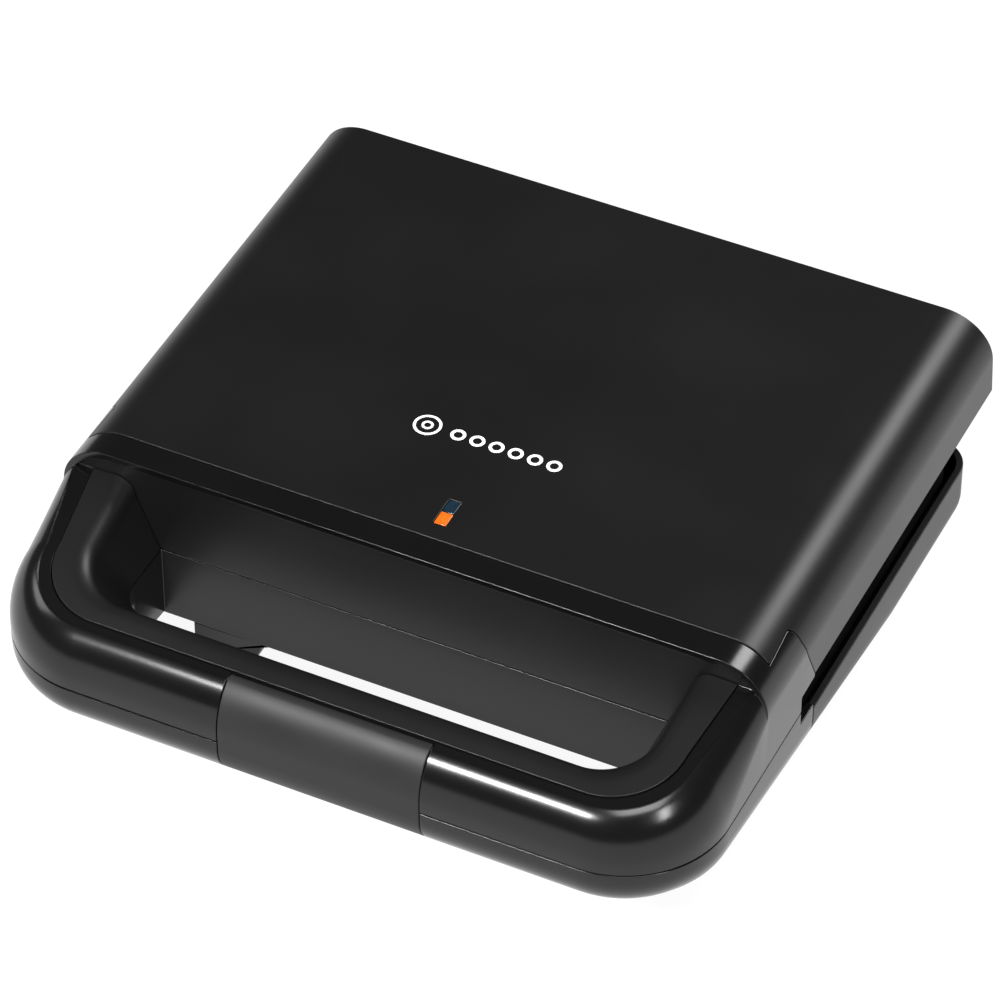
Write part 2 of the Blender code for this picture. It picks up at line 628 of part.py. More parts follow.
def make_plate(name, side):
    """side 1 is the lower plate, opening upwards; -1 the upper one, opening downwards."""
    face = PARTING - side * PLATE_SPLIT
    low, high = sorted((face, face - side * PLATE_SKIN))
    plan = rounded_plan(PLATE_HALF, back(PLATE_FRONT), back(PLATE_REAR), PLATE_CORNER)
    plate = prism(name, plan, "Z", low, high, COATED)
    wall, depth, above = RING_OUTER + PLATE_SKIN, RING_DEPTH + PLATE_SKIN, 3 * MM
    cup = [(0, -0.5 * MM), (wall, -0.5 * MM), (wall - 1 * MM, -RING_DEPTH * 0.6),
           (RING_OUTER - 4 * MM, -depth), (0, -depth)]
    hollow = [(RING_POST, above), (RING_OUTER, above), (RING_OUTER, 0),
              (RING_OUTER - 1.2 * MM, -RING_DEPTH * 0.55), (RING_OUTER - 5 * MM, -RING_DEPTH * 0.9),
              (RING_OUTER - 9 * MM, -RING_DEPTH), (RING_POST + 4.5 * MM, -RING_DEPTH * 0.85),
              (RING_POST + 1.2 * MM, -RING_DEPTH * 0.5), (RING_POST, 0), (RING_POST, above)]
    if side < 0:
        cup = [(radius, -height) for radius, height in reversed(cup)]
        hollow = [(radius, -height) for radius, height in reversed(hollow)]
    for index, (x, distance) in enumerate(ring_places()):
        place = (x, back(distance), face)
        boolean(plate, turned(f"{name}_cup_{index}", cup, place), "UNION")
        boolean(plate, turned(f"{name}_ring_{index}", hollow, place))


def make_carrier(name, side):
    """The frame a plate sits in: a seat for its edge, an opening for the cups and a thin skirt round it."""
    face = PARTING - side * CARRIER_SET

    def slab(label, half, front, rear, radius, near, far, material=None):
        """A rounded plate between two depths below the carrier's face."""
        low, high = sorted((face - side * near, face - side * far))
        return prism(label, rounded_plan(half, back(front), back(rear), radius), "Z", low, high, material)

    play, past, skirt = 0.4 * MM, 2 * MM, 2 * MM
    carrier = slab(name, CARRIER_HALF, CARRIER_FRONT, CARRIER_REAR, 9 * MM, 0, CARRIER_DEPTH, COATED)
    boolean(carrier, slab(name + "_seat", PLATE_HALF + play, PLATE_FRONT - play, PLATE_REAR + play,
                          PLATE_CORNER, -past, PLATE_SKIN))
    boolean(carrier, slab(name + "_opening", 103.5 * MM, 75 * MM, 210 * MM, 6 * MM,
                          -past, CARRIER_DEPTH + past))
    boolean(carrier, slab(name + "_underside", CARRIER_HALF - skirt, CARRIER_FRONT + skirt,
                          CARRIER_REAR - skirt, 7 * MM, CARRIER_SKIN, CARRIER_DEPTH + past))
    return carrier


def tube_loop(name, points, radius, material):
    """A bent round tube along straight runs, as a poly curve made into a mesh with its caps welded."""
    data = bpy.data.curves.new(name + "_path", "CURVE")
    data.dimensions = "3D"
    data.bevel_depth = radius
    data.bevel_resolution = 2
    data.use_fill_caps = True
    spline = data.splines.new("POLY")
    spline.points.add(len(points) - 1)
    for slot, point in zip(spline.points, points):
        slot.co = (*point, 1)
    path = bpy.data.objects.new(name + "_path", data)
    bpy.context.scene.collection.objects.link(path)
    graph = bpy.context.evaluated_depsgraph_get()
    bm = bmesh.new()
    bm.from_mesh(bpy.data.meshes.new_from_object(path.evaluated_get(graph)))
    bpy.data.objects.remove(path, do_unlink=True)
    return add_object(name, bm, material)


def make_element(name, side):
    """A U of tubular heater behind the cups, its ends at the rear."""
    height = PARTING - side * (PLATE_SPLIT + RING_DEPTH + PLATE_SKIN + GAP + TUBE)
    reach, near, far, bend = 74 * MM, 120 * MM, 208 * MM, 16 * MM
    right = [(reach, far)] + list(reversed(arc((reach - bend, near + bend), bend, 270, 360, 5)))
    line = right + [(-x, y) for x, y in reversed(right)]
    tube_loop(name, [(x, back(y), height) for x, y in line], TUBE, STEEL)


def make_reflector(name, side):
    depth = 24.6 * MM if side > 0 else 26 * MM
    base = PARTING - side * depth
    lip, inner = base + side * REFLECTOR_LIP, base + side * SHEET
    half = REFLECTOR_HALF
    right = [(half, base), (half, lip), (half - SHEET, lip), (half - SHEET, inner)]
    outline = right + [(-x, z) for x, z in reversed(right)]
    prism(name, outline, "Y", back(REFLECTOR_FRONT), back(REFLECTOR_REAR), ALUMINIUM)


def make_controls():
    """Thermostat and thermal fuse on the upper plate's back, terminal block on the housing's floor."""
    plate_back = PARTING + PLATE_SPLIT + PLATE_SKIN + GAP
    middle = (PLATE_FRONT + PLATE_REAR) / 2
    place = (RING_PITCH / 2, back(middle), plate_back)
    profile = in_mm([(0, 9), (4, 9), (4.5, 7), (8, 7), (8.4, 6), (8.4, 0), (0, 0)])
    turned("thermostat", profile, place, CERAMIC)
    fuse, fuse_length = 2.2 * MM, 12 * MM
    place = (-RING_PITCH / 2, back(middle), plate_back + fuse + 0.2 * MM)
    rod("thermal_fuse", fuse, place, fuse_length, "Y", STEEL, facets=COARSE)
    low = FLOOR_LOW + WALL + GAP
    top = low + 11 * MM
    left, right, near, far = -43 * MM, -17 * MM, 202.5 * MM, 212.5 * MM
    block = box("terminal_block", (left, back(near), low), (right, back(far), top), CERAMIC)
    terminal, terminal_pitch, terminal_depth = 2 * MM, 8 * MM, 8 * MM
    for index in range(3):
        place = (left + 5 * MM + index * terminal_pitch, back((near + far) / 2), top)
        boolean(block, rod(f"terminal_{index}", terminal, place, terminal_depth, "Z", facets=10))


def make_hinge(word, side):
    """A two-eared bracket on the housing, an angled arm under the cover and the pin through both."""
    axis = (back(HINGE_BACK), HINGE_HEIGHT)
    centre = side * HINGE_X
    wall = back(HOUSING_REAR) + GAP
    foot = HOUSING_RIM - 16 * MM
    ear = arc(axis, KNUCKLE, -60, 180, 14)
    ear += [(wall, HINGE_HEIGHT - 2 * MM), (wall, foot), (wall + LEAF, foot)]
    ear += [(wall + LEAF, HINGE_HEIGHT - 6 * MM)]
    lower = prism(f"hinge_bracket_lower_{word}", ear, "X", centre - LEAF_HALF, centre + LEAF_HALF, STEEL)
    boolean(lower, box(f"lower_knuckle_gap_{word}",
                       (centre - TAB_HALF - GAP, wall - 5 * MM, HOUSING_RIM - 1 * MM),
                       (centre + TAB_HALF + GAP, back(DEPTH), HINGE_HEIGHT + 10 * MM)))
    arm_low = HINGE_HEIGHT + 13.2 * MM
    arm_top_face = arm_low + LEAF
    arm_end = back(TAB_END)
    arm = arc(axis, KNUCKLE, -180, 30, 12)
    arm += [(axis[0] + 1 * MM, arm_low + 1 * MM), (axis[0] - 1 * MM, arm_top_face), (arm_end, arm_top_face)]
    arm += [(arm_end, arm_low), (axis[0] - KNUCKLE + 1 * MM, arm_low), (axis[0] - KNUCKLE, arm_low - 2 * MM)]
    upper = prism(f"hinge_bracket_upper_{word}", arm, "X", centre - TAB_HALF, centre + TAB_HALF, STEEL)
    place = (centre, *axis)
    for bracket in (lower, upper):
        boolean(bracket, rod(f"{bracket.name}_bore", PIN_RADIUS + 0.1 * MM, place, 40 * MM, "X", facets=FINE))
    rod(f"hinge_pin_{word}", PIN_RADIUS, place, 24 * MM, "X", STEEL, facets=FINE)


def make_carrier_screws(carrier):
    """Four screws that hold the upper carrier to posts in the cover."""
    seat = in_mm([(0, 6), (1.9, 6), (1.9, 2.2), (2.9, 2.2), (2.9, -1), (0, -1)])
    screw = in_mm([(0, 9), (1.5, 9), (1.5, 1.9), (2.5, 1.9), (2.5, 0.2), (0, 0.2)])
    for index, x in enumerate(CARRIER_SCREW_XS):
        place = (x, back(CARRIER_SCREW_ROW), PARTING + CARRIER_SET)
        boolean(carrier, turned(f"screw_seat_{index}", seat, place, facets=COARSE))
        turned(f"carrier_screw_{index + 1}", screw, place, STEEL, facets=COARSE)


make_top_cover()
make_lamps()
make_upper_frame()
make_liner()
make_lower_frame()
make_clip()
make_housing()
make_feet_and_screws()
make_cord_clip()
make_plate("lower_baking_plate", 1)
make_plate("upper_baking_plate", -1)
make_carrier("lower_plate_carrier", 1)
make_carrier_screws(make_carrier("upper_plate_carrier", -1))
make_element("lower_heating_element", 1)
make_element("upper_heating_element", -1)
make_reflector("lower_heat_reflector", 1)
make_reflector("upper_heat_reflector", -1)
make_controls()
for word, side in (("left", -1), ("right", 1)):
    make_hinge(word, side)

# ---- joints: an empty on each axis, with the pieces that turn about it ----
ON_LID = (
    "top_cover", "upper_handle_frame", "upper_handle_liner",
    "upper_plate_carrier", "upper_baking_plate", "upper_heating_element", "upper_heat_reflector",
    "thermostat", "thermal_fuse", "power_lens", "ready_lens", "lamp_holder", "power_lamp", "ready_lamp",
    "hinge_bracket_upper_left", "hinge_bracket_upper_right", "latch_pin",
    "carrier_screw_1", "carrier_screw_2", "carrier_screw_3", "carrier_screw_4",
)


def joint(name, place, children):
    """An empty at a joint. Its children keep their places."""
    pivot = bpy.data.objects.new(name, None)
    pivot.location = place
    parts.objects.link(pivot)
    for child in children:
        child.parent = pivot
        child.location -= pivot.location
    return pivot


lid = joint("lid_hinge", (0, back(HINGE_BACK), HINGE_HEIGHT), [bpy.data.objects[name] for name in ON_LID])
clip_pivot = joint("latch_pivot", (0, back(LATCH_BACK), LATCH_HEIGHT), [bpy.data.objects["latch_clip"]])
clip_pivot.parent = lid
clip_pivot.location -= lid.location
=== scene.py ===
# %% [markdown]
# # A ring-doughnut maker
# The appliance is two hinged black housings that close over a pair of baking plates. The front of both
# halves runs out into a handle with a finger opening, and a latch clip hangs from its upper half.
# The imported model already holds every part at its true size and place. This lesson dresses it: each piece
# is made again as a finished moulding with rounded edges, and each gets the finish of its real material.

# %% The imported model
import math

import bmesh
import bpy
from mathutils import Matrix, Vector


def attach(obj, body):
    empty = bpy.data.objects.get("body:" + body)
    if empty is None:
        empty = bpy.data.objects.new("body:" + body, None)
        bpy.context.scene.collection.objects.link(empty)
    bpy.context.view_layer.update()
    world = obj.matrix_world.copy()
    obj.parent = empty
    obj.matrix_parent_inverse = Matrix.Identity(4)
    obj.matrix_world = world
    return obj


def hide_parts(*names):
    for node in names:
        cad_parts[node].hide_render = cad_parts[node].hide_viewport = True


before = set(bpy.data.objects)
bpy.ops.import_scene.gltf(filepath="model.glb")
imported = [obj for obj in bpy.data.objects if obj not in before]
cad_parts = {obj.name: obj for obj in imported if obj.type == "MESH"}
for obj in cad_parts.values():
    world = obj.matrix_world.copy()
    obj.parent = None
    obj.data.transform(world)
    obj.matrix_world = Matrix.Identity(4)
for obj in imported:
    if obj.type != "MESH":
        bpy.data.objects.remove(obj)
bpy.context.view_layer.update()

MM = 0.001

# %% [markdown]
# ## The camera, the floor and the lights
# A camera that stands far off with a long lens keeps the edges nearly parallel, which suits a small
# appliance. Black plastic has almost no colour of its own: what the eye reads is the reflection of the lamps
# and of the pale table, so the softboxes are placed where the curved bands mirror them.

# %% Camera
LENS = 196.6
CAMERA_PLACE = Vector((0.5467, -1.1258, 1.2214))
CAMERA_TARGET = Vector((-0.00376, 0.01306, 0.0405))


def new_object(name, data):
    obj = bpy.data.objects.new(name, data)
    bpy.context.scene.collection.objects.link(obj)
    return obj


def aim(obj, place, target):
    """Puts an object at a place and turns its -Z towards the target."""
    obj.location = place
    obj.rotation_euler = (Vector(target) - Vector(place)).to_track_quat("-Z", "Y").to_euler()


camera_data = bpy.data.cameras.new("camera")
camera_data.lens = LENS
camera = new_object("camera", camera_data)
aim(camera, CAMERA_PLACE, CAMERA_TARGET)
bpy.context.scene.camera = camera
bpy.context.scene.view_settings.view_transform = "Standard"
print("camera stands", round((CAMERA_PLACE - CAMERA_TARGET).length, 3), "m away")

# %% Softboxes
LAMPS_FACE = (0, 0, 0.04)
WORLD_LIGHT = 0.1
# name, place, size across and along in metres, watts
SOFTBOXES = (
    ("shoulder_band", (0.62, 1.25, 1.3), (0.55, 0.7), 16),
    ("bar_highlight", (-0.2, -0.72, 0.66), (0.24, 0.1), 11),
    ("corner_highlight", (0.6, -0.38, 0.5), (0.1, 0.3), 2.4),
    ("left_fill", (-1.1, -0.2, 0.9), (0.5, 0.5), 4),
    ("overhead", (0.5, -0.7, 1.9), (1.0, 0.7), 24),
)


def add_softbox(name, place, size, watts):
    data = bpy.data.lights.new(name, "AREA")
    data.shape = "RECTANGLE"
    data.size, data.size_y = size
    data.energy = watts
    aim(new_object(name, data), place, LAMPS_FACE)


for softbox in SOFTBOXES:
    add_softbox(*softbox)

world = bpy.data.worlds.new("studio")
world.use_nodes = True
world.node_tree.nodes["Background"].inputs["Color"].default_value = (1, 1, 1, 1)
world.node_tree.nodes["Background"].inputs["Strength"].default_value = WORLD_LIGHT
bpy.context.scene.world = world
print(len(SOFTBOXES), "softboxes")

# %% [markdown]
# ## Finishes
# A finish is a colour, a shine and a surface that isn't quite flat. Colours are written as the hex values a
# colour picker gives, and one function turns them into the linear values that Blender's shaders work with.
# Every pattern is sized in millimetres through Object coordinates, so that a grain stays the same size on a
# large cover and on a small screw.

# %% Colour and nodes
def linear(code, alpha=1.0):
    """An sRGB hex colour as linear RGBA."""
    channels = [int(code[i:i + 2], 16) / 255 for i in (1, 3, 5)]
    return [c / 12.92 if c <= 0.04045 else ((c + 0.055) / 1.055) ** 2.4 for c in channels] + [alpha]


def add(tree, kind, links=None, **settings):
    """A new node. links gives each input a value or another node's output."""
    node = tree.nodes.new(kind)
    for key, value in settings.items():
        setattr(node, key, value)
    for socket, source in (links or {}).items():
        if isinstance(source, bpy.types.NodeSocket):
            tree.links.new(source, node.inputs[socket])
        else:
            node.inputs[socket].default_value = source
    return node


def new_finish(name, **constants):
    """A material with the shader's constant sockets set. Returns it, its tree and its shader."""
    material = bpy.data.materials.new(name)
    material.use_nodes = True
    tree = material.node_tree
    shader = tree.nodes["Principled BSDF"]
    for socket, value in constants.items():
        shader.inputs[socket.replace("_", " ").replace("Ior", "IOR")].default_value = value
    return material, tree, shader


def cells(tree, size_mm, detail=2.0):
    """Noise whose blotches are about this many millimetres across."""
    place = add(tree, "ShaderNodeTexCoord").outputs["Object"]
    return add(tree, "ShaderNodeTexNoise", {"Vector": place, "Scale": 1 / (size_mm * MM), "Detail": detail})


def shade_between(tree, factor, dark, light, low=0.35, high=0.65):
    """A colour that goes from dark to light as the factor goes from low to high."""
    ramp = add(tree, "ShaderNodeValToRGB", {"Fac": factor})
    ramp.color_ramp.elements[0].position = low
    ramp.color_ramp.elements[0].color = linear(dark)
    ramp.color_ramp.elements[1].position = high
    ramp.color_ramp.elements[1].color = linear(light)
    return ramp.outputs["Color"]


def spread(tree, factor, low, high):
    """A number that goes from low to high with a noise factor."""
    limits = {"From Min": 0.3, "From Max": 0.7, "To Min": low, "To Max": high}
    return add(tree, "ShaderNodeMapRange", {"Value": factor, **limits}).outputs["Result"]


def relief(tree, shader, height, depth_mm, strength=1.0):
    """Bumps of this depth in millimetres."""
    bump = add(tree, "ShaderNodeBump", {"Height": height, "Distance": depth_mm * MM, "Strength": strength})
    tree.links.new(bump.outputs["Normal"], shader.inputs["Normal"])


print("white is", linear("#ffffff")[:3])

# %% [markdown]
# ### Moulded plastics
# The housings are ABS. Where the mould was spark-eroded the skin has a fine grain, about a third of a
# millimetre, and reflects softly. The handle's band comes from a polished mould: it mirrors, with the faint
# slow waves that cooling leaves in thick plastic. The clip is the dullest. Grain this fine hardly shows from
# a metre away, so its relief is drawn a little deeper than life.

# %% Black plastics
def make_black_plastic(name, dark, light, rough_low, rough_high, grain_mm, grain_depth_mm, wave_mm):
    material, tree, shader = new_finish(name, IOR=1.53, Specular_IOR_Level=0.36)
    slow = cells(tree, wave_mm).outputs["Fac"]
    fine = cells(tree, grain_mm, 3.0).outputs["Fac"]
    tree.links.new(shade_between(tree, slow, dark, light), shader.inputs["Base Color"])
    tree.links.new(spread(tree, slow, rough_low, rough_high), shader.inputs["Roughness"])
    relief(tree, shader, fine, grain_depth_mm, 0.6)
    return material


SATIN_ABS = make_black_plastic("abs_black_spark_eroded", "#0c0c0c", "#0f0f0f", 0.36, 0.4, 0.35, 0.008, 60)
POLISHED_ABS = make_black_plastic("abs_black_polished", "#080808", "#0b0b0b", 0.17, 0.21, 6.0, 0.005, 80)
MATT_ABS = make_black_plastic("abs_black_matt", "#121212", "#161616", 0.46, 0.54, 0.45, 0.02, 25)
NYLON = make_black_plastic("nylon_black_moulded", "#101010", "#151515", 0.5, 0.6, 0.6, 0.02, 12)
print("plastics", [m.name for m in (SATIN_ABS, POLISHED_ABS, MATT_ABS, NYLON)])


# %% [markdown]
# ### Metals
# The plates are die-cast aluminium under a sprayed non-stick coat, which is charcoal with metal flakes
# of about half a millimetre. The brackets and screws are steel with a zinc plating, whose crystals make
# faint cloudy patches. The heater's sheath has been through the fire and has gone brown.

# %% Coatings and metals
def make_nonstick():
    material, tree, shader = new_finish("nonstick_coated_aluminium", IOR=1.45)
    place = add(tree, "ShaderNodeTexCoord").outputs["Object"]
    flakes = add(tree, "ShaderNodeTexVoronoi", {"Vector": place, "Scale": 1 / (0.9 * MM)})
    slow = cells(tree, 18).outputs["Fac"]
    lit = add(tree, "ShaderNodeMath", {0: flakes.outputs["Distance"], 1: 0.13}, operation="LESS_THAN")
    coat = shade_between(tree, slow, "#191919", "#202020")
    colour = add(tree, "ShaderNodeMix", {"Factor": lit.outputs[0], "A": coat, "B": linear("#77787a")},
                 data_type="RGBA")
    tree.links.new(colour.outputs["Result"], shader.inputs["Base Color"])
    tree.links.new(spread(tree, slow, 0.32, 0.42), shader.inputs["Roughness"])
    relief(tree, shader, cells(tree, 0.8).outputs["Fac"], 0.02, 0.5)
    return material


def make_metal(name, dark, light, rough_low, rough_high, patch_mm, stretch=(1, 1, 1)):
    """A bare metal. stretch makes the patches long, for rolling or drawing lines."""
    material, tree, shader = new_finish(name, Metallic=1.0)
    place = add(tree, "ShaderNodeTexCoord").outputs["Object"]
    mapped = add(tree, "ShaderNodeMapping", {"Vector": place, "Scale": stretch}).outputs["Vector"]
    patch = add(tree, "ShaderNodeTexNoise", {"Vector": mapped, "Scale": 1 / (patch_mm * MM), "Detail": 4.0})
    tree.links.new(shade_between(tree, patch.outputs["Fac"], dark, light), shader.inputs["Base Color"])
    tree.links.new(spread(tree, patch.outputs["Fac"], rough_low, rough_high), shader.inputs["Roughness"])
    relief(tree, shader, patch.outputs["Fac"], 0.01, 0.5)
    return material


NONSTICK = make_nonstick()
ZINC_STEEL = make_metal("zinc_plated_steel", "#b5b8bc", "#c3c6ca", 0.28, 0.36, 0.7)
SHEATH = make_metal("heater_sheath_fired", "#4a4038", "#7b6f66", 0.36, 0.5, 2.5, (1, 0.3, 1))
BRIGHT_SHEET = make_metal("aluminium_rolled_sheet", "#c8c9cb", "#dedfe0", 0.2, 0.32, 1.0, (1, 0.05, 1))
OVEN_PAINT = make_black_plastic("oven_paint_black", "#131313", "#191919", 0.4, 0.5, 0.5, 0.015, 15)
print("metals", [m.name for m in (NONSTICK, ZINC_STEEL, SHEATH, BRIGHT_SHEET)])

# %% [markdown]
# ### Small parts
# The pilot lenses are clear-coloured polycarbonate, the feet are rubber with a dusty bloom, the terminal
# block is unglazed ceramic, and the printed rings on the cover are white pad-printing ink.

# %% Rubber, ceramic, lenses and ink
def make_plain(name, dark, light, rough_low, rough_high, patch_mm, depth_mm, **constants):
    material, tree, shader = new_finish(name, **constants)
    patch = cells(tree, patch_mm, 3.0).outputs["Fac"]
    tree.links.new(shade_between(tree, patch, dark, light), shader.inputs["Base Color"])
    tree.links.new(spread(tree, patch, rough_low, rough_high), shader.inputs["Roughness"])
    relief(tree, shader, patch, depth_mm, 0.5)
    return material


RUBBER = make_plain("rubber_black_moulded", "#161616", "#222222", 0.7, 0.85, 1.2, 0.02, IOR=1.5)
CERAMIC = make_plain("ceramic_unglazed", "#d9d2c4", "#ece6da", 0.5, 0.65, 1.5, 0.02, IOR=1.55)
ORANGE_LENS = make_plain("polycarbonate_orange", "#c85a10", "#d4681a", 0.14, 0.2, 3.0, 0.004, IOR=1.58)
DARK_LENS = make_plain("polycarbonate_blue_black", "#0d1d29", "#122633", 0.1, 0.16, 3.0, 0.004, IOR=1.58)
WHITE_INK = make_plain("ink_white_pad_print", "#e9e9e9", "#f7f7f7", 0.45, 0.55, 0.8, 0.003, IOR=1.5)
LAMP_GLASS = make_plain("glass_neon_lamp", "#e8c9a8", "#f4dcc4", 0.04, 0.08, 2.0, 0.004, IOR=1.5,
                        Transmission_Weight=0.6)
print("small finishes ready")

# %% The pale floor
# The table is white card lit from below, so it stays white under the shadows and shines into the undersides.
FLOOR_SIZE = 12.0
TABLE_GLOW = 0.93
card, card_tree, card_shader = new_finish("studio_card_white", Roughness=0.9, Emission_Strength=TABLE_GLOW)
card_mottle = shade_between(card_tree, cells(card_tree, 40).outputs["Fac"], "#fdfdfd", "#ffffff")
card_tree.links.new(card_mottle, card_shader.inputs["Emission Color"])
card_shader.inputs["Base Color"].default_value = linear("#5a5a5a")
bpy.ops.mesh.primitive_plane_add(size=FLOOR_SIZE, location=(0, 0, -0.0002))
floor = bpy.context.active_object
floor.name = "studio_floor"
floor.data.materials.append(card)
print("floor", FLOOR_SIZE, "m")

# %% [markdown]
# ## Building tools
# Nearly every moulding here is one section carried along a line. `loft` joins rows of points into a closed
# bar, `prism` sweeps a flat outline straight, and `turned` spins a profile. A Boolean then cuts the openings
# while the shape is still plain, and a Bevel rounds every sharp edge: no moulded or pressed part has a
# perfectly sharp edge, and those thin highlights are what makes it look real.

# %% Dimensions
WIDTH, DEPTH, HEIGHT = 240 * MM, 242 * MM, 80 * MM
HALF = WIDTH / 2
WALL = 2.4 * MM
GAP = 0.3 * MM
SEAM = 0.25 * MM  # half of the dark line between two mouldings
PARTING = 40.5 * MM
INNER_PARTING = 45.5 * MM
HANDLE_CORNER = 34.5 * MM
RECESS_WALL = 63 * MM
RIDGE = 61.5 * MM
COVER_START = 71.8 * MM
COVER_CORNER = 17 * MM
SKIRT_BOTTOM = 48.5 * MM
REAR_LEAN = 3.5 * MM
TONGUE_END = 98.5 * MM
NOTCH = 88.7 * MM
HOUSING_RIM = 33 * MM
HOUSING_REAR = 229.5 * MM
HOUSING_CORNER = 12.2 * MM
UNDER_ROUND = 15 * MM
FLOOR_LOW, FLOOR_FLAT, FLOOR_FRONT, FLOOR_RISE = 6 * MM, 165 * MM, 16 * MM, 16 * MM
CLIP_HALF = 34 * MM
LATCH_BACK, LATCH_HEIGHT = 9.4 * MM, PARTING + 18.3 * MM
BARREL = 1.9 * MM
PIN = 1.0 * MM
LENS_X = 2.7 * MM
PRINT_RAISED = 0.04 * MM
CORNER_STEPS = 24
ROLL_STEPS = 16
PAST_SIDE = HALF + 10 * MM  # a cutter this wide goes right through


def back(distance):
    """Y of a point this far behind the handle's front edge."""
    return distance - DEPTH / 2


def mix(a, b, t):
    return a + (b - a) * t


def ramp(value, low, high):
    return min(1.0, max(0.0, (value - low) / (high - low)))


def underside(distance):
    """Height of the underside, which rises towards the handle."""
    return FLOOR_LOW + FLOOR_RISE * (1 - ramp(distance, FLOOR_FRONT, FLOOR_FLAT))


def arm_top(distance):
    return PARTING + 20.5 * MM + 0.2 * (distance - 11.5 * MM)


def side_view(points):
    """Y and height of points given in mm behind the handle's front and above the parting line."""
    return [(back(y * MM), PARTING + z * MM) for y, z in points]


print("underside at the handle is", round(underside(0) / MM, 1), "mm up")


# %% Shapes from points
def shape(name, bm):
    """An object from a bmesh, its doubles merged and its faces turned outwards."""
    bmesh.ops.remove_doubles(bm, verts=bm.verts, dist=1e-6)
    bmesh.ops.recalc_face_normals(bm, faces=bm.faces)
    mesh = bpy.data.meshes.new(name)
    bm.to_mesh(mesh)
    bm.free()
    return new_object(name, mesh)


def arc(centre, radius, start, end, steps):
    angles = [math.radians(mix(start, end, i / steps)) for i in range(steps + 1)]
    return [(centre[0] + radius * math.cos(a), centre[1] + radius * math.sin(a)) for a in angles]


def prism(name, outline, axis, start, end, bend=None):
    """A flat outline swept along X, Y or Z. bend(point) moves each vertex afterwards."""
    places = {
        "X": lambda s, p: (s, p[0], p[1]),
        "Y": lambda s, p: (p[0], s, p[1]),
        "Z": lambda s, p: (p[0], p[1], s),
    }
    bm = bmesh.new()
    base = bm.faces.new([bm.verts.new(places[axis](start, point)) for point in outline])
    far = bmesh.ops.extrude_face_region(bm, geom=[base])["geom"]
    step = Vector(places[axis](end - start, (0, 0)))
    bmesh.ops.translate(bm, verts=[v for v in far if isinstance(v, bmesh.types.BMVert)], vec=step)
    if bend:
        for vert in bm.verts:
            vert.co = bend(vert.co)
    return shape(name, bm)


def box(name, low, high):
    outline = [(low[0], low[1]), (high[0], low[1]), (high[0], high[1]), (low[0], high[1])]
    return prism(name, outline, "Z", low[2], high[2])


def rounded_plan(half, front, rear, radius, steps=10):
    points = []
    for x, y, start in ((half, rear, 0), (-half, rear, 90), (-half, front, 180), (half, front, 270)):
        centre = (x - math.copysign(radius, x), y - (radius if y == rear else -radius))
        points += arc(centre, radius, start, start + 90, steps)
    return points


def turned(name, profile, centre, axis="Z", facets=48):
    """A (radius, height) profile spun once round an axis through the centre."""
    turn = {
        "X": lambda x, y, z: Vector((z, y, -x)),
        "Y": lambda x, y, z: Vector((x, z, -y)),
        "Z": lambda x, y, z: Vector((x, y, z)),
    }[axis]
    bm = bmesh.new()
    rows = []
    for i in range(facets):
        angle = 2 * math.pi * i / facets
        places = [turn(r * math.cos(angle), r * math.sin(angle), h) + Vector(centre) for r, h in profile]
        rows.append([bm.verts.new(place) for place in places])
    for row, following in zip(rows, rows[1:] + rows[:1]):
        for j in range(len(profile) - 1):
            corners = [row[j], row[j + 1], following[j + 1], following[j]]
            if profile[j][0] == 0:
                corners = [row[j], row[j + 1], following[j + 1]]
            elif profile[j + 1][0] == 0:
                corners = [row[j], row[j + 1], following[j]]
            bm.faces.new(corners)
    return shape(name, bm)


def rod(name, radius, centre, length, axis, facets=32):
    profile = [(0, length / 2), (radius, length / 2), (radius, -length / 2), (0, -length / 2)]
    return turned(name, profile, centre, axis, facets)


def u_line(half, rear_half, front, radius, rear, height):
    """A U seen from above, left rear end first. height(distance) gives each point's height."""
    start_y, reach = front + radius, rear - (front + radius)
    side = arc((half - radius, front + radius), radius, 270, 360, CORNER_STEPS)
    side += [(mix(half, rear_half, i / 4), start_y + reach * i / 4) for i in range(1, 5)]
    line = [(-x, y) for x, y in reversed(side)] + side
    return [Vector((x, back(y), height(y))) for x, y in line]


def loft(name, lines):
    """A closed section swept along lines of equal length, with flat ends."""
    bm = bmesh.new()
    rows = [[bm.verts.new(point) for point in line] for line in lines]
    for row, following in zip(rows, rows[1:] + rows[:1]):
        for i in range(len(row) - 1):
            bm.faces.new((row[i], row[i + 1], following[i + 1], following[i]))
    bm.faces.new([row[0] for row in rows])
    bm.faces.new([row[-1] for row in reversed(rows)])
    return shape(name, bm)


# %% Cutting, rounding and handing over
def settle(obj):
    """Makes the modifiers' result the object's own mesh."""
    graph = bpy.context.evaluated_depsgraph_get()
    mesh = bpy.data.meshes.new_from_object(obj.evaluated_get(graph))
    obj.modifiers.clear()
    obj.data = mesh
    return obj


def carve(target, operation, *others):
    """A Boolean with each of the other shapes, which are then used up."""
    for other in others:
        modifier = target.modifiers.new("carve", "BOOLEAN")
        modifier.operation = operation
        modifier.solver = "EXACT"
        modifier.object = other
    bpy.context.view_layer.update()
    settle(target)
    for other in others:
        bpy.data.objects.remove(other, do_unlink=True)
    return target


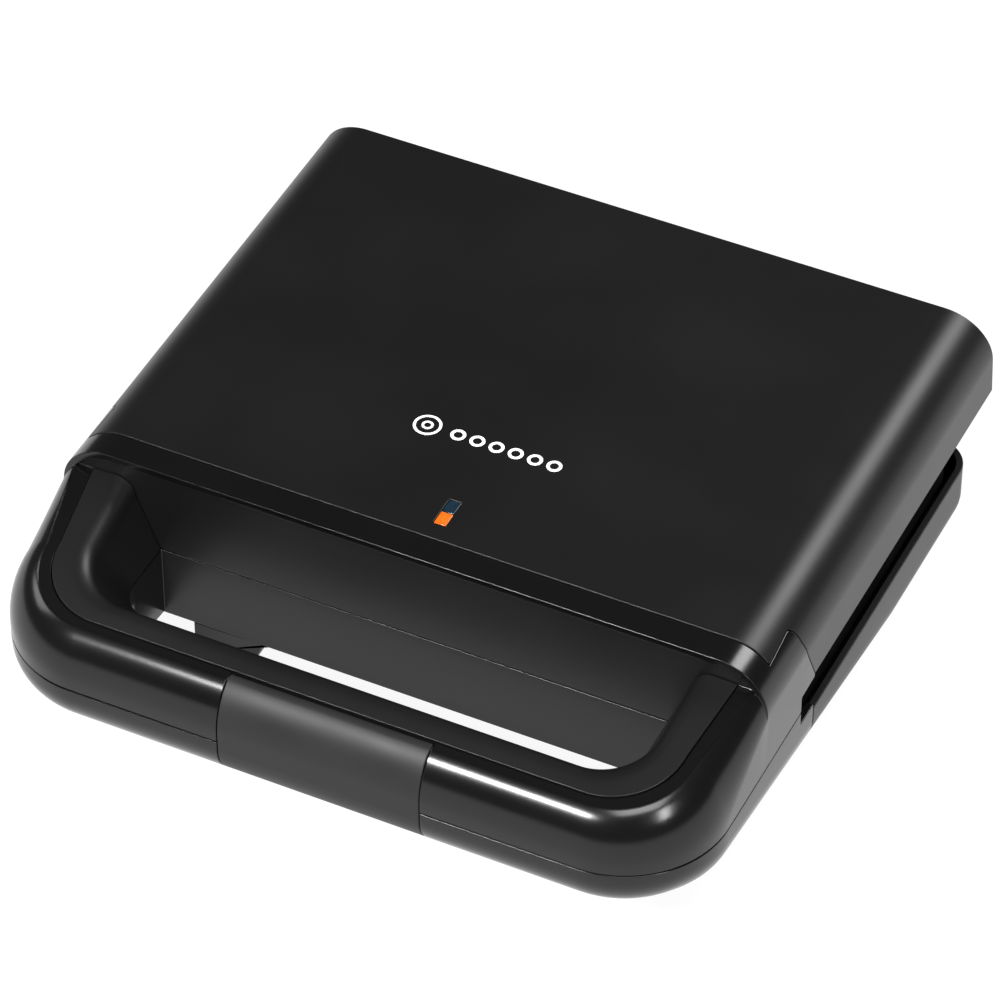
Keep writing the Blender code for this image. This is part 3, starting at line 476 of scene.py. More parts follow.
def soften(obj, width=0.3 * MM, segments=2, angle=38, split=False):
    """Rounds the sharp edges, then shades the large faces flat and the roundings smooth.

    split divides hollowed faces first. The result is kept inside the box that the piece had before.
    """
    bm = bmesh.new()
    bm.from_mesh(obj.data)
    bmesh.ops.remove_doubles(bm, verts=bm.verts, dist=5e-6)
    bmesh.ops.dissolve_degenerate(bm, edges=bm.edges, dist=5e-6)
    if split:
        bmesh.ops.connect_verts_concave(bm, faces=bm.faces)
    bm.to_mesh(obj.data)
    bm.free()
    low, high = ([pick(vert.co[i] for vert in obj.data.vertices) for i in range(3)] for pick in (min, max))
    obj.data.shade_smooth()
    bevel = obj.modifiers.new("edges", "BEVEL")
    bevel.width = width
    bevel.segments = segments
    bevel.limit_method = "ANGLE"
    bevel.angle_limit = math.radians(angle)
    bevel.use_clamp_overlap = False
    bevel.loop_slide = False
    bevel.miter_outer = "MITER_ARC"
    weighted = obj.modifiers.new("shading", "WEIGHTED_NORMAL")
    weighted.keep_sharp = False
    bpy.context.view_layer.update()
    settle(obj)
    for vert in obj.data.vertices:
        vert.co = [min(max(value, a), b) for value, a, b in zip(vert.co, low, high)]
    return obj


def hand_over(obj, finish, body, slot, *nodes):
    """Gives a finished piece its material and its body, and hides the parts that it stands for. slot is not
    used.
    """
    obj.data.materials.clear()
    obj.data.materials.append(finish)
    for face in obj.data.polygons:
        face.material_index = 0
    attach(obj, body)
    if nodes:
        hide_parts(*nodes)
    print(f"{obj.name}: {len(obj.data.polygons)} faces")


def texture_wall(obj, finish):
    """The mould is spark-eroded on the wall behind the fingers, so those faces take the satin finish."""
    obj.data.materials.append(finish)
    wall = [face for face in obj.data.polygons
            if face.normal.y < -0.8 and abs(face.center.y - back(RECESS_WALL)) < 1 * MM]
    for face in wall:
        face.material_index = 1
    print(f"{obj.name}: {len(wall)} satin faces on the recess wall")


# %% [markdown]
# ## The top cover
# The cover is a shell with one rounded section from front to back. Its skirt stands clear of the lower
# half, its rear face leans forward, and a slot in each side lets the handle's tongue in. A prism of the
# section with a smaller prism taken out gives an even wall, which is what a mould gives.

# %% Top cover
def cover_section(inset, bottom, top=HEIGHT):
    radius = COVER_CORNER - inset
    centre = (HALF - COVER_CORNER, top - COVER_CORNER)
    right = arc(centre, radius, 90, 0, 20) + [(HALF - inset, bottom)]
    return [(-x, z) for x, z in reversed(right)] + right


def lean(point):
    share = ramp(point.z, SKIRT_BOTTOM, HEIGHT)
    return Vector((point.x, point.y - (REAR_LEAN * share if point.y > 0 else 0), point.z))


def tongue_outline(grow):
    """Side view of a tongue, as Y and height."""
    low, high = PARTING + 8.1 * MM, PARTING + 34.4 * MM + grow
    end = TONGUE_END + grow
    points = [(COVER_START - 6 * MM, low - 20 * MM), (end, low - 20 * MM), (end, low)]
    points += [(y * MM + grow, PARTING + z * MM) for y, z in ((95.4, 14.3), (91.6, 22), (89.2, 28.6))]
    points += [(86.2 * MM + (2.6 * MM + grow) * math.cos(a), high - 4 * MM * (1 - math.sin(a)))
               for a in (math.radians(d) for d in range(10, 91, 10))]
    points += [(COVER_START, high - 0.9 * MM), (COVER_START - 6 * MM, high - 0.9 * MM)]
    return [(back(y), z) for y, z in points]


cover_top = HEIGHT - PRINT_RAISED
cover = prism("top_cover_shell", cover_section(0, SKIRT_BOTTOM, cover_top), "Y",
              back(COVER_START), back(DEPTH), lean)
inside = prism("inside", cover_section(WALL, SKIRT_BOTTOM - 5 * MM, cover_top), "Y",
               back(COVER_START - 2 * MM), back(DEPTH - WALL), lean)
slots = [prism("slot", tongue_outline(SEAM), "X", side * 108 * MM, side * 124 * MM) for side in (-1, 1)]
window = box("window", (LENS_X - 2.15 * MM, back(78.25 * MM), HEIGHT - 5 * MM),
             (LENS_X + 2.15 * MM, back(89.85 * MM), HEIGHT + 2 * MM))
carve(cover, "DIFFERENCE", inside, *slots, window)
POSTS_X, POST_BACK = (-96 * MM, -30 * MM, 30 * MM, 96 * MM), 217.2 * MM
POST_LOW, POST_HIGH = PARTING + 5.6 * MM, HEIGHT - 1.5 * MM
POST, POST_BORE = 4 * MM, 1.6 * MM
for x in POSTS_X:
    post = turned("post", [(0, POST_HIGH), (POST, POST_HIGH), (POST, POST_LOW), (0, POST_LOW)],
                  (x, back(POST_BACK), 0), facets=32)
    bore = rod("bore", POST_BORE, (x, back(POST_BACK), POST_LOW), 12 * MM, "Z")
    carve(post, "DIFFERENCE", bore)
    carve(cover, "UNION", post)
soften(cover)
hand_over(cover, SATIN_ABS, "lid", "shell_plastic", "top_cover")

# %% [markdown]
# ## The upper handle half
# The band is a rolled edge that starts tall at the front and turns into a low shoulder at the cover, so its
# section changes all the way round: each line of the loft has its own height at every distance. The strip,
# the tongues and the wall behind the fingers are swept from the cover's section and joined on, and the
# latch's recess is cut last.

# %% Upper handle frame
BAND_START, BAND_START_REAR = 4 * MM, 20.7 * MM
BAND_FRONT, BAND_CORNER, BAND_REAR = 8.2 * MM, 10.5 * MM, 3.7 * MM
BAND_ANGLE, BAND_ANGLE_REAR = math.radians(80), math.radians(38.5)


def band_share(angle, share):
    """How far across and up the roll a share of its angle reaches."""
    across = (1 - math.cos(angle * share)) / (1 - math.cos(angle))
    return across, math.sin(angle * share) / math.sin(angle)


def band_line(share, rear):
    across, up = band_share(BAND_ANGLE, share)
    across_rear, up_rear = band_share(BAND_ANGLE_REAR, share)

    def height(distance):
        t = ramp(distance, HANDLE_CORNER, RIDGE)
        low = PARTING + mix(BAND_START, BAND_START_REAR, t)
        return mix(low, arm_top(distance), mix(up, up_rear, t))

    return u_line(HALF - BAND_CORNER * across, HALF - BAND_REAR * across_rear, BAND_FRONT * across,
                  HANDLE_CORNER - 10 * MM * across, rear, height)


def level(height):
    return lambda distance: height


def below_top(drop):
    return lambda distance: arm_top(distance) - drop


def latch_block(*points):
    """The solid core behind the clip, a little wider than the clip."""
    return prism("block", side_view(points), "X", -CLIP_HALF - 3 * MM, CLIP_HALF + 3 * MM)


ARM_REAR = RECESS_WALL + 0.6 * MM
foot = PARTING + SEAM
lines = [u_line(HALF, HALF, 0, HANDLE_CORNER, ARM_REAR, level(foot))]
lines += [band_line(i / ROLL_STEPS, ARM_REAR) for i in range(ROLL_STEPS + 1)]
for half, rear_half, front, radius, height in (
    (109.5, 116.3, 8.2, 24.5, below_top(0.5 * MM)), (106, 109.6, 11.3, 23.5, below_top(0.5 * MM)),
    (106, 109.6, 11.3, 23.5, below_top(2.9 * MM)), (102, 105.6, 15, 21, below_top(2.9 * MM)),
    (102, 105.6, 15, 21, below_top(4.9 * MM)), (113.5, 114.2, 5.5, 29, below_top(6.5 * MM)),
    (117.6, 117.6, 2.4, 32.1, level(PARTING + 4 * MM)), (117.6, 117.6, 2.4, 32.1, level(foot)),
):
    lines.append(u_line(half * MM, rear_half * MM, front * MM, radius * MM, ARM_REAR, height))
upper = loft("upper_handle", lines)

strip = prism("strip", cover_section(0, foot), "Y", back(RIDGE), back(TONGUE_END))
behind = [(back(COVER_START - 2 * SEAM), HEIGHT + 5 * MM)]
behind += [(back(COVER_START - 2 * SEAM), PARTING + 33.5 * MM)]
behind += list(reversed(tongue_outline(0)[2:-1]))
behind += [(back(TONGUE_END + 5 * MM), PARTING + 8.1 * MM), (back(TONGUE_END + 5 * MM), HEIGHT + 5 * MM)]
below = [(back(NOTCH), PARTING - 5 * MM), (back(NOTCH), PARTING + 6.3 * MM),
         (back(TONGUE_END + 5 * MM), PARTING + 7 * MM), (back(TONGUE_END + 5 * MM), PARTING - 5 * MM)]
inside = prism("inside", cover_section(WALL, foot - 5 * MM), "Y",
               back(RIDGE - 3 * MM), back(TONGUE_END + 3 * MM))
carve(strip, "DIFFERENCE", inside, prism("behind", behind, "X", -PAST_SIDE, PAST_SIDE),
      prism("below", below, "X", -PAST_SIDE, PAST_SIDE))
slab = prism("slab", cover_section(1 * MM, INNER_PARTING + SEAM), "Y",
             back(RECESS_WALL), back(RECESS_WALL + WALL))
block = latch_block((1, 0.25), (1, 5), (2.5, 12), (5.5, 16.5), (9, 17.4), (13.5, 17.4), (13.5, 0.25))
carve(upper, "UNION", strip, slab, block)
latch_axis = (back(LATCH_BACK), LATCH_HEIGHT)
room = side_view(((-3, -1), (-3, 25), (11.65, 25)))
room += arc(latch_axis, BARREL + 0.35 * MM, 0, -90, 12)
room += side_view(((6.4, 14.6), (4.3, 9.8), (3.2, 4), (3.2, -1)))
latch_place = (0, *latch_axis)
carve(upper, "DIFFERENCE", prism("room", room, "X", -CLIP_HALF - SEAM, CLIP_HALF + SEAM),
      rod("hole", PIN + 0.12 * MM, latch_place, 2 * (CLIP_HALF + 4 * MM), "X"))
soften(upper, split=True)
hand_over(upper, POLISHED_ABS, "lid", "handle_plastic", "upper_handle_frame")
texture_wall(upper, SATIN_ABS)

# %% [markdown]
# ## The liner of the finger opening
# A separate satin moulding lies inside the band. It runs flat for a finger's width, rolls over and falls
# steeply into the opening, where the lower half carries on. Its section is drawn as a chain of stations.

# %% Liner
def liner_line(half, rear_half, front, radius, height):
    return u_line(half * MM, rear_half * MM, front * MM, radius * MM, RECESS_WALL - SEAM, height)


def roll_between(start, end, steps=8):
    """Stations round a quarter turn from flat to steep, each (half, rear_half, front, radius, drop)."""
    stations = []
    for i in range(steps + 1):
        angle = math.radians(90 * i / steps)
        out, down = math.sin(angle), 1 - math.cos(angle)
        plan = [mix(a, b, out) for a, b in zip(start[:4], end[:4])]
        stations.append(plan + [mix(start[4], end[4], down)])
    return stations


low = INNER_PARTING + SEAM
lines = [liner_line(105.75, 109.35, 11.55, 23.25, below_top(0.0))]
lines.append(liner_line(101.5, 104.5, 13.8, 21.5, below_top(-0.15 * MM)))
for *plan, drop in roll_between((99.5, 101.5, 15.5, 20, -0.3), (94.2, 94.8, 22.4, 18, 6)):
    lines.append(liner_line(*plan, below_top(drop * MM)))
for half, front, radius, share in ((91.8, 26.2, 16, 0.62), (89.4, 30, 14, 0.3), (87, 33.4, 12, 0)):
    lines.append(liner_line(half, half, front, radius,
                            lambda d, share=share: mix(low, arm_top(d) - 6 * MM, share)))
lines += [
    liner_line(89.4, 89.4, 31, 13, level(low)),
    liner_line(96.4, 97, 20, 18.5, below_top(6.6 * MM)),
    liner_line(99, 100.5, 17, 20, below_top(2.6 * MM)),
    liner_line(105.75, 109.35, 11.55, 23.25, below_top(2.3 * MM)),
]
liner = loft("finger_liner", lines)
soften(liner, 0.2 * MM, angle=50)
hand_over(liner, SATIN_ABS, "lid", "liner_plastic", "upper_handle_liner")

# %% [markdown]
# ## The lower handle half
# The lower half is the same U turned over: a straight side, a round underside and the inner wall of the
# finger opening. Its underside climbs towards the front, so the height of each line depends on how far
# back it is.

# %% Lower handle frame
def under_point(inset, angle):
    radius = UNDER_ROUND - inset
    return UNDER_ROUND - radius * math.cos(angle), UNDER_ROUND - radius * math.sin(angle)


def under_line(inset, angle, rear):
    across, up = under_point(inset, angle)
    return u_line(HALF - across, HALF - across, across, HANDLE_CORNER - across, rear,
                  lambda distance: underside(distance) + up)


BENDS = [math.radians(90 * i / ROLL_STEPS) for i in range(ROLL_STEPS + 1)]


def lower_section(distance, inset, top):
    points = []
    for angle in BENDS:
        across, up = under_point(inset, angle)
        points.append((HALF - across, underside(distance) + up))
    right = [(HALF - inset, top)] + points
    return right + [(-x, z) for x, z in reversed(right)]


ARM_INSIDE = 104 * MM
rear = TONGUE_END
top = PARTING - SEAM
inner_top = INNER_PARTING - SEAM
lines = [u_line(HALF, HALF, 0, HANDLE_CORNER, rear, level(top))]
lines += [under_line(0, angle, rear) for angle in BENDS]
for half, front, radius, height in (
    (89, 31.4, 13, underside), (87.6, 32.8, 12.4, lambda d: underside(d) + 0.6 * MM),
    (87, 33.4, 12, lambda d: underside(d) + 2 * MM), (87, 33.4, 12, level(inner_top)),
    (89.4, 31, 13, level(inner_top)), (89.8, 30.6, 13.4, lambda d: underside(d) + WALL),
):
    lines.append(u_line(half * MM, half * MM, front * MM, radius * MM, rear, height))
lines += [under_line(WALL, angle, rear) for angle in reversed(BENDS)]
lines += [u_line(HALF - WALL, HALF - WALL, WALL, HANDLE_CORNER - WALL, rear, level(top))]
lower = loft("lower_handle", lines)
wall = prism("wall", lower_section(RECESS_WALL, 1 * MM, PARTING - 1 * MM), "Y", back(RECESS_WALL),
             back(RECESS_WALL + WALL))
ledge = box("ledge", (-88 * MM, back(RECESS_WALL), PARTING - 6 * MM),
            (88 * MM, back(RECESS_WALL + WALL), inner_top))
block = latch_block((1, -0.25), (1, -3.5), (4.5, -12), (8, -15), (13.5, -17), (13.5, -0.25))
carve(lower, "UNION", wall, ledge, block)
past_arm = back(TONGUE_END + 5 * MM)
carve(lower, "DIFFERENCE",
      box("inside", (-ARM_INSIDE, back(RECESS_WALL + WALL), -5 * MM), (ARM_INSIDE, past_arm, 60 * MM)),
      box("notch", (-PAST_SIDE, back(NOTCH), PARTING - 5.4 * MM), (PAST_SIDE, past_arm, 50 * MM)),
      box("catch", (-CLIP_HALF - SEAM, back(-3 * MM), -1 * MM),
          (CLIP_HALF + SEAM, back(7.5 * MM), PARTING + 3 * MM)))
soften(lower)
hand_over(lower, POLISHED_ABS, "base", "handle_plastic", "lower_handle_frame")
texture_wall(lower, SATIN_ABS)

# %% [markdown]
# ## The latch clip
# The clip continues the band's curve across the middle of the handle, so its outline starts from the band's
# own formula, rolls round the pin and comes back down inside. Its foot hooks under the lower half.

# %% Latch clip
outline = [(0, PARTING - 3.2 * MM)]
for i in range(ROLL_STEPS + 1):
    across, up = band_share(BAND_ANGLE, i / ROLL_STEPS)
    distance = BAND_FRONT * across
    outline.append((distance, mix(PARTING + BAND_START, arm_top(distance), up)))
outline = [(back(y), z) for y, z in outline]
outline += arc(latch_axis, BARREL, 80, -90, 16)
outline += side_view(((6.7, 15.2), (4.0, 9.8), (2.9, 4), (2.9, -3.5)))
inner_bends, outer_bends = [], []
for i in range(9):
    angle = math.radians(58 * i / 8)
    for points, inset in ((inner_bends, 2.6 * MM), (outer_bends, 0)):
        across, up = under_point(inset, angle)
        points.append((back(min(across, 7.2 * MM)), underside(FLOOR_FRONT) + up))
outline += inner_bends + list(reversed(outer_bends))
clip = prism("latch_clip_cover", outline, "X", -CLIP_HALF, CLIP_HALF)
carve(clip, "DIFFERENCE", rod("hole", PIN + 0.12 * MM, latch_place, 2 * (CLIP_HALF + 4 * MM), "X"))
soften(clip, 0.4 * MM, 3)
hand_over(clip, MATT_ABS, "latch", "clip_plastic", "latch_clip")

# %% [markdown]
# ## The lower housing
# The housing is a deep tray whose walls round into the floor and whose floor climbs to the front. Rows of
# points in plan, one row for each height of the rounding, give the outer form; the same rows further in give
# the hollow. The handle's arms sit in a step at each front corner.

# %% Lower housing
def tray(name, inset, top, front):
    bm = bmesh.new()
    rows = []
    places = [(inset, lambda d: top)]
    for angle in BENDS:
        across, up = under_point(inset, angle)
        places.append((across, lambda d, up=up: underside(d) + up))
    for across, height in places:
        radius = max(HOUSING_CORNER - across, 1 * MM)
        far = HOUSING_REAR - across
        plan = [(HALF - across, front), (HALF - across, FLOOR_FLAT)]
        plan += arc((HALF - across - radius, far - radius), radius, 0, 90, 12)
        plan += [(-x, y) for x, y in reversed(plan)]
        rows.append([bm.verts.new((x, back(y), height(y))) for x, y in plan])
    for row, following in zip(rows, rows[1:]):
        for i in range(len(row) - 1):
            bm.faces.new((row[i], row[i + 1], following[i + 1], following[i]))
    bm.faces.new(rows[0])
    last = rows[-1]
    bm.faces.new((last[0], last[1], last[-2], last[-1]))
    bm.faces.new(last[1:-1])
    bm.faces.new([row[0] for row in rows] + [row[-1] for row in reversed(rows)])
    return shape(name, bm)


CORD_PLACE = (-84 * MM, back(HOUSING_REAR), 21 * MM)
SCREWS = [(side * 60 * MM, distance) for distance in (88 * MM, 206 * MM) for side in (-1, 1)]
housing = tray("lower_housing_shell", 0, HOUSING_RIM, RECESS_WALL + WALL + GAP)
cutters = [tray("hollow", WALL, HOUSING_RIM + 5 * MM, RECESS_WALL)]
for side in (-1, 1):
    left, right = sorted([side * (ARM_INSIDE - GAP), side * PAST_SIDE])
    cutters.append(box("seat", (left, back(RECESS_WALL), -5 * MM),
                       (right, back(TONGUE_END + 2 * SEAM), 50 * MM)))
cutters.append(rod("cord_hole", 5.3 * MM, CORD_PLACE, 12 * MM, "Y"))
cutters += [rod("screw_hole", 1.8 * MM, (x, back(d), underside(d)), 12 * MM, "Z") for x, d in SCREWS]
carve(housing, "DIFFERENCE", *cutters)
soften(housing)
hand_over(housing, SATIN_ABS, "base", "shell_plastic", "lower_housing")

# %% [markdown]
# ## The pilot lenses
# The two lenses share one slot in the cover, an orange one and a nearly black one. Each is a stem that fills
# half of the slot, on a wider flange that holds it from inside. Their outline swept backwards gives both.

# %% Lenses
ceiling = HEIGHT - WALL - GAP
lens_top = HEIGHT - 0.1 * MM
for name, start, finish, slot, node in (
    ("pilot_lens_orange", 78.4, ORANGE_LENS, "orange_lens", "power_lens"),
    ("pilot_lens_dark", 84.2, DARK_LENS, "dark_lens", "ready_lens"),
):
    right = [(3.5 * MM, ceiling - 1.6 * MM), (3.5 * MM, ceiling), (2 * MM, ceiling), (2 * MM, lens_top)]
    outline = [(LENS_X + x, z) for x, z in right] + [(LENS_X - x, z) for x, z in reversed(right)]
    lens = prism(name, outline, "Y", back(start * MM), back((start + 5.5) * MM))
    hand_over(soften(lens, 0.2 * MM, 3), finish, "lid", slot, node)

# %% [markdown]
# ## Copies on points
# Screws, ring cups and printed rings are each one shape set down several times. A small Geometry Nodes tree
# does this: it takes a mesh whose vertices are the places, puts the shape on each, and can turn every copy
# by a random angle from a fixed seed, as screws end up when they are driven. The result is one plain mesh.

# %% Tree that sets down copies
def new_tree(name, inputs):
    """A Geometry Nodes tree with a geometry in and out, and these further inputs as (name, socket type)."""
    tree = bpy.data.node_groups.new(name, "GeometryNodeTree")
    tree.interface.new_socket("Geometry", in_out="INPUT", socket_type="NodeSocketGeometry")
    tree.interface.new_socket("Geometry", in_out="OUTPUT", socket_type="NodeSocketGeometry")
    for label, kind in inputs:
        tree.interface.new_socket(label, in_out="INPUT", socket_type=kind)
    return tree, add(tree, "NodeGroupInput").outputs, add(tree, "NodeGroupOutput")


def make_copies_tree():
    tree, given, result = new_tree("copies_on_points", (
        ("Piece", "NodeSocketObject"), ("Largest Turn", "NodeSocketFloat"),
        ("Seed", "NodeSocketInt"), ("Finish", "NodeSocketMaterial"),
    ))
    piece = add(tree, "GeometryNodeObjectInfo", {"Object": given["Piece"]}).outputs["Geometry"]
    turn = tree.nodes.new("FunctionNodeRandomValue")
    tree.links.new(given["Largest Turn"], turn.inputs[3])
    tree.links.new(given["Seed"], turn.inputs["Seed"])
    about_z = add(tree, "ShaderNodeCombineXYZ", {"Z": turn.outputs[1]}).outputs["Vector"]
    copies = add(tree, "GeometryNodeInstanceOnPoints", {
        "Points": given["Geometry"], "Instance": piece, "Rotation": about_z}).outputs["Instances"]
    real = add(tree, "GeometryNodeRealizeInstances", {"Geometry": copies}).outputs["Geometry"]
    dressed = add(tree, "GeometryNodeSetMaterial", {"Geometry": real, "Material": given["Finish"]})
    tree.links.new(dressed.outputs["Geometry"], result.inputs["Geometry"])
    return tree


def attach_tree(obj, tree, **values):
    """Puts the tree on an object, each input set by its socket's identifier."""
    modifier = obj.modifiers.new("nodes", "NODES")
    modifier.node_group = tree
    keys = {item.name: item.identifier for item in tree.interface.items_tree if item.in_out == "INPUT"}
    for label, value in values.items():
        modifier[keys[label.replace("_", " ")]] = value
    bpy.context.view_layer.update()


def copies(name, piece, places, finish, largest_turn=0.0):
    """One mesh with the piece at each place. The piece is modelled round the origin and is used up."""
    points = bpy.data.meshes.new(name)
    points.from_pydata([tuple(place) for place in places], [], [])
    spots = new_object(name, points)
    attach_tree(spots, COPIES, Piece=piece, Largest_Turn=largest_turn, Seed=7, Finish=finish)
    settle(spots)
    bpy.data.objects.remove(piece, do_unlink=True)
    return spots


COPIES = make_copies_tree()
print("tree", COPIES.name, "with", len(COPIES.nodes), "nodes")

# %% [markdown]
# ## The printed rings
# The print is a white pictogram: a ring doughnut and a row of six small rings. The ink stands a few
# hundredths of a millimetre proud of the cover, as a thick pad print does.

# %% Printed rings
PRINT_BACK = 117 * MM
PRINT_LEFT = -20.5 * MM
SMALL_RING_PITCH = 6.6 * MM
PRINT_HEIGHT = HEIGHT - PRINT_RAISED


def ring_print(name, outer, line):
    """A flat ring of ink with its foot just inside the cover's skin."""
    low, high = -0.05 * MM, 0.9 * PRINT_RAISED
    profile = [(outer, high), (outer, low), (outer - line, low), (outer - line, high), (outer, high)]
    return turned(name, profile, (0, 0, 0), facets=64)


print_spots = [(PRINT_LEFT, back(PRINT_BACK), PRINT_HEIGHT)]
row_left = PRINT_LEFT + 10.6 * MM
row_spots = [(row_left + SMALL_RING_PITCH * i, back(PRINT_BACK), PRINT_HEIGHT) for i in range(6)]
prints = [
    copies("print_outer_ring", ring_print("ring", 4.6 * MM, 0.9 * MM), print_spots, WHITE_INK),
    copies("print_inner_ring", ring_print("ring", 1.9 * MM, 0.8 * MM), print_spots, WHITE_INK),
    copies("print_small_rings", ring_print("ring", 2.5 * MM, 1.05 * MM), row_spots, WHITE_INK),
]
for piece in prints:
    hand_over(piece, WHITE_INK, "lid", "shell_plastic")

# %% [markdown]
# ## The baking plates
# Each plate is a cast sheet with six ring cups. A cup is spun once: up the post in its middle, down and
# round the ring-shaped hollow, out over a rounded lip, and back underneath two millimetres lower. Six copies
# go on the grid of ring centres, and the sheet has six round holes that the lips close.

# %% Ring cups and plates
PLATE_HALF, PLATE_FRONT, PLATE_REAR = 108 * MM, 71.5 * MM, 213.5 * MM
PLATE_CORNER, PLATE_SKIN, PLATE_SPLIT = 8 * MM, 2 * MM, 0.3 * MM
RING_PITCH, RING_OUTER, RING_POST, RING_DEPTH = 70 * MM, 28 * MM, 9 * MM, 13 * MM
LIP_ROUND, POST_ROUND = 1.2 * MM, 1.5 * MM


def ring_cup(side):
    """A cup that opens upwards for side 1 and downwards for side -1, its rim at the origin's height."""
    middle = (RING_OUTER + RING_POST) / 2
    half = (RING_OUTER - RING_POST) / 2 - 0.6 * MM
    inner = arc((RING_POST - POST_ROUND, -POST_ROUND), POST_ROUND, 90, 0, 6)
    inner += [(middle - half * math.cos(a), -3 * MM - (RING_DEPTH - 3 * MM) * math.sin(a))
              for a in (math.radians(9 * i) for i in range(21))]
    inner += arc((RING_OUTER + LIP_ROUND, -LIP_ROUND), LIP_ROUND, 180, 90, 6)
    wall = RING_OUTER + PLATE_SKIN
    outer = [(wall, 0), (wall, -PLATE_SKIN), (wall - 0.3 * MM, -6 * MM)]
    outer += arc((wall - 8.3 * MM, -RING_DEPTH - PLATE_SKIN + 8 * MM), 8 * MM, 0, -90, 8)
    outer += [(0, -RING_DEPTH - PLATE_SKIN)]
    profile = [(0, 0)] + inner + outer
    return turned("cup", [(radius, side * height) for radius, height in profile], (0, 0, 0), facets=72)


def make_plate(name, side, body, node):
    face = PARTING - side * PLATE_SPLIT
    low, high = sorted((face, face - side * PLATE_SKIN))
    middle = (PLATE_FRONT + PLATE_REAR) / 2
    centres = [(column * RING_PITCH, back(middle + row * RING_PITCH / 2))
               for row in (-1, 1) for column in (-1, 0, 1)]
    plan = rounded_plan(PLATE_HALF, back(PLATE_FRONT), back(PLATE_REAR), PLATE_CORNER)
    sheet = prism(name, plan, "Z", low, high)
    holes = [rod("hole", RING_OUTER + PLATE_SKIN - 0.02 * MM, (x, y, face), 10 * MM, "Z", facets=72)
             for x, y in centres]
    carve(sheet, "DIFFERENCE", *holes)
    soften(sheet, angle=60)
    cups = copies("cups", ring_cup(side), [(x, y, face) for x, y in centres], NONSTICK)
    joined = bmesh.new()
    joined.from_mesh(sheet.data)
    joined.from_mesh(cups.data)
    joined.to_mesh(sheet.data)
    joined.free()
    bpy.data.objects.remove(cups, do_unlink=True)
    sheet.data.shade_smooth()
    sheet.data.set_sharp_from_angle(angle=math.radians(40))
    hand_over(sheet, NONSTICK, body, "coated_plate", node)


make_plate("baking_plate_lower", 1, "base", "lower_baking_plate")
make_plate("baking_plate_upper", -1, "lid", "upper_baking_plate")

# %% [markdown]
# ## The plate carriers
# A painted steel frame holds each plate by its edge. It is a slab with a seat cut for the plate, an opening
# for the cups, and a hollow back that leaves a skirt all round.

# %% Carriers
CARRIER_HALF, CARRIER_FRONT, CARRIER_REAR = 114.5 * MM, 67.5 * MM, 224 * MM
CARRIER_SET, CARRIER_DEPTH, CARRIER_SKIN = 0.9 * MM, 12 * MM, 4.4 * MM
CARRIER_SCREWS = [(x, back(POST_BACK)) for x in POSTS_X]


def make_carrier(name, side, body, node, screws=()):
    face = PARTING - side * CARRIER_SET

    def slab(label, half, front, rear, radius, near, far):
        low, high = sorted((face - side * near, face - side * far))
        return prism(label, rounded_plan(half, back(front), back(rear), radius), "Z", low, high)

    play, past, skirt = 0.4 * MM, 2 * MM, 2 * MM
    carrier = slab(name, CARRIER_HALF, CARRIER_FRONT, CARRIER_REAR, 9 * MM, 0, CARRIER_DEPTH)
    cuts = [
        slab("seat", PLATE_HALF + play, PLATE_FRONT - play, PLATE_REAR + play, PLATE_CORNER,
             -past, PLATE_SKIN),
        slab("opening", 103.5 * MM, 75 * MM, 210 * MM, 6 * MM, -past, CARRIER_DEPTH + past),
        slab("hollow", CARRIER_HALF - skirt, CARRIER_FRONT + skirt, CARRIER_REAR - skirt, 7 * MM,
             CARRIER_SKIN, CARRIER_DEPTH + past),
    ]
    cuts += [rod("bore", 1.9 * MM, (x, y, face), 20 * MM, "Z") for x, y in screws]
    cuts += [rod("sink", 2.9 * MM, (x, y, face), 4.4 * MM, "Z") for x, y in screws]
    carve(carrier, "DIFFERENCE", *cuts)
    soften(carrier)
    hand_over(carrier, OVEN_PAINT, body, "coated_carrier", node)


make_carrier("carrier_lower", 1, "base", "lower_plate_carrier")
make_carrier("carrier_upper", -1, "lid", "upper_plate_carrier", CARRIER_SCREWS)

# %% [markdown]
# ## Screws
# A pan-head screw is a domed turned head with a cross recess and a plain shank. The recess is two crossed
# wedges. Each group of screws is one mesh of copies, every one left at its own angle.

# %% Screws
def pan_screw(head, head_height, shank, length):
    """A screw that points up, with its head below the origin."""
    dome = arc((0, 0), head, -80, -25, 8)
    profile = [(0, length), (shank, length), (shank, 0), (head, 0), (head, -0.35 * head_height)]
    profile += [(x * 0.98, y / head * head_height) for x, y in reversed(dome)] + [(0, -head_height)]
    screw = turned("screw", profile, (0, 0, 0), facets=36)
    slot, reach = 0.35 * MM, 0.62 * head
    for along, across in ((reach, slot), (slot, reach)):
        cross = box("cross", (-along, -across, -head_height - 1 * MM),
                    (along, across, -head_height + 0.75 * MM))
        carve(screw, "DIFFERENCE", cross)
    return soften(screw, 0.08 * MM, 2, 45)


LARGEST_TURN = 1.5
base_spots = [(x, back(d), underside(d) - GAP) for x, d in SCREWS]
carrier_spots = [(x, y, PARTING + CARRIER_SET + 1.9 * MM) for x, y in CARRIER_SCREWS]
for label, body, spots, screw in (
    ("base_screw", "base", base_spots, pan_screw(3 * MM, 2 * MM, 1.5 * MM, 8 * MM)),
    ("carrier_screw", "lid", carrier_spots, pan_screw(2.5 * MM, 1.7 * MM, 1.5 * MM, 7.1 * MM)),
):
    group = copies(f"{label}s", screw, spots, ZINC_STEEL, LARGEST_TURN)
    hand_over(group, ZINC_STEEL, body, "fastener_steel", *[f"{label}_{i + 1}" for i in range(4)])

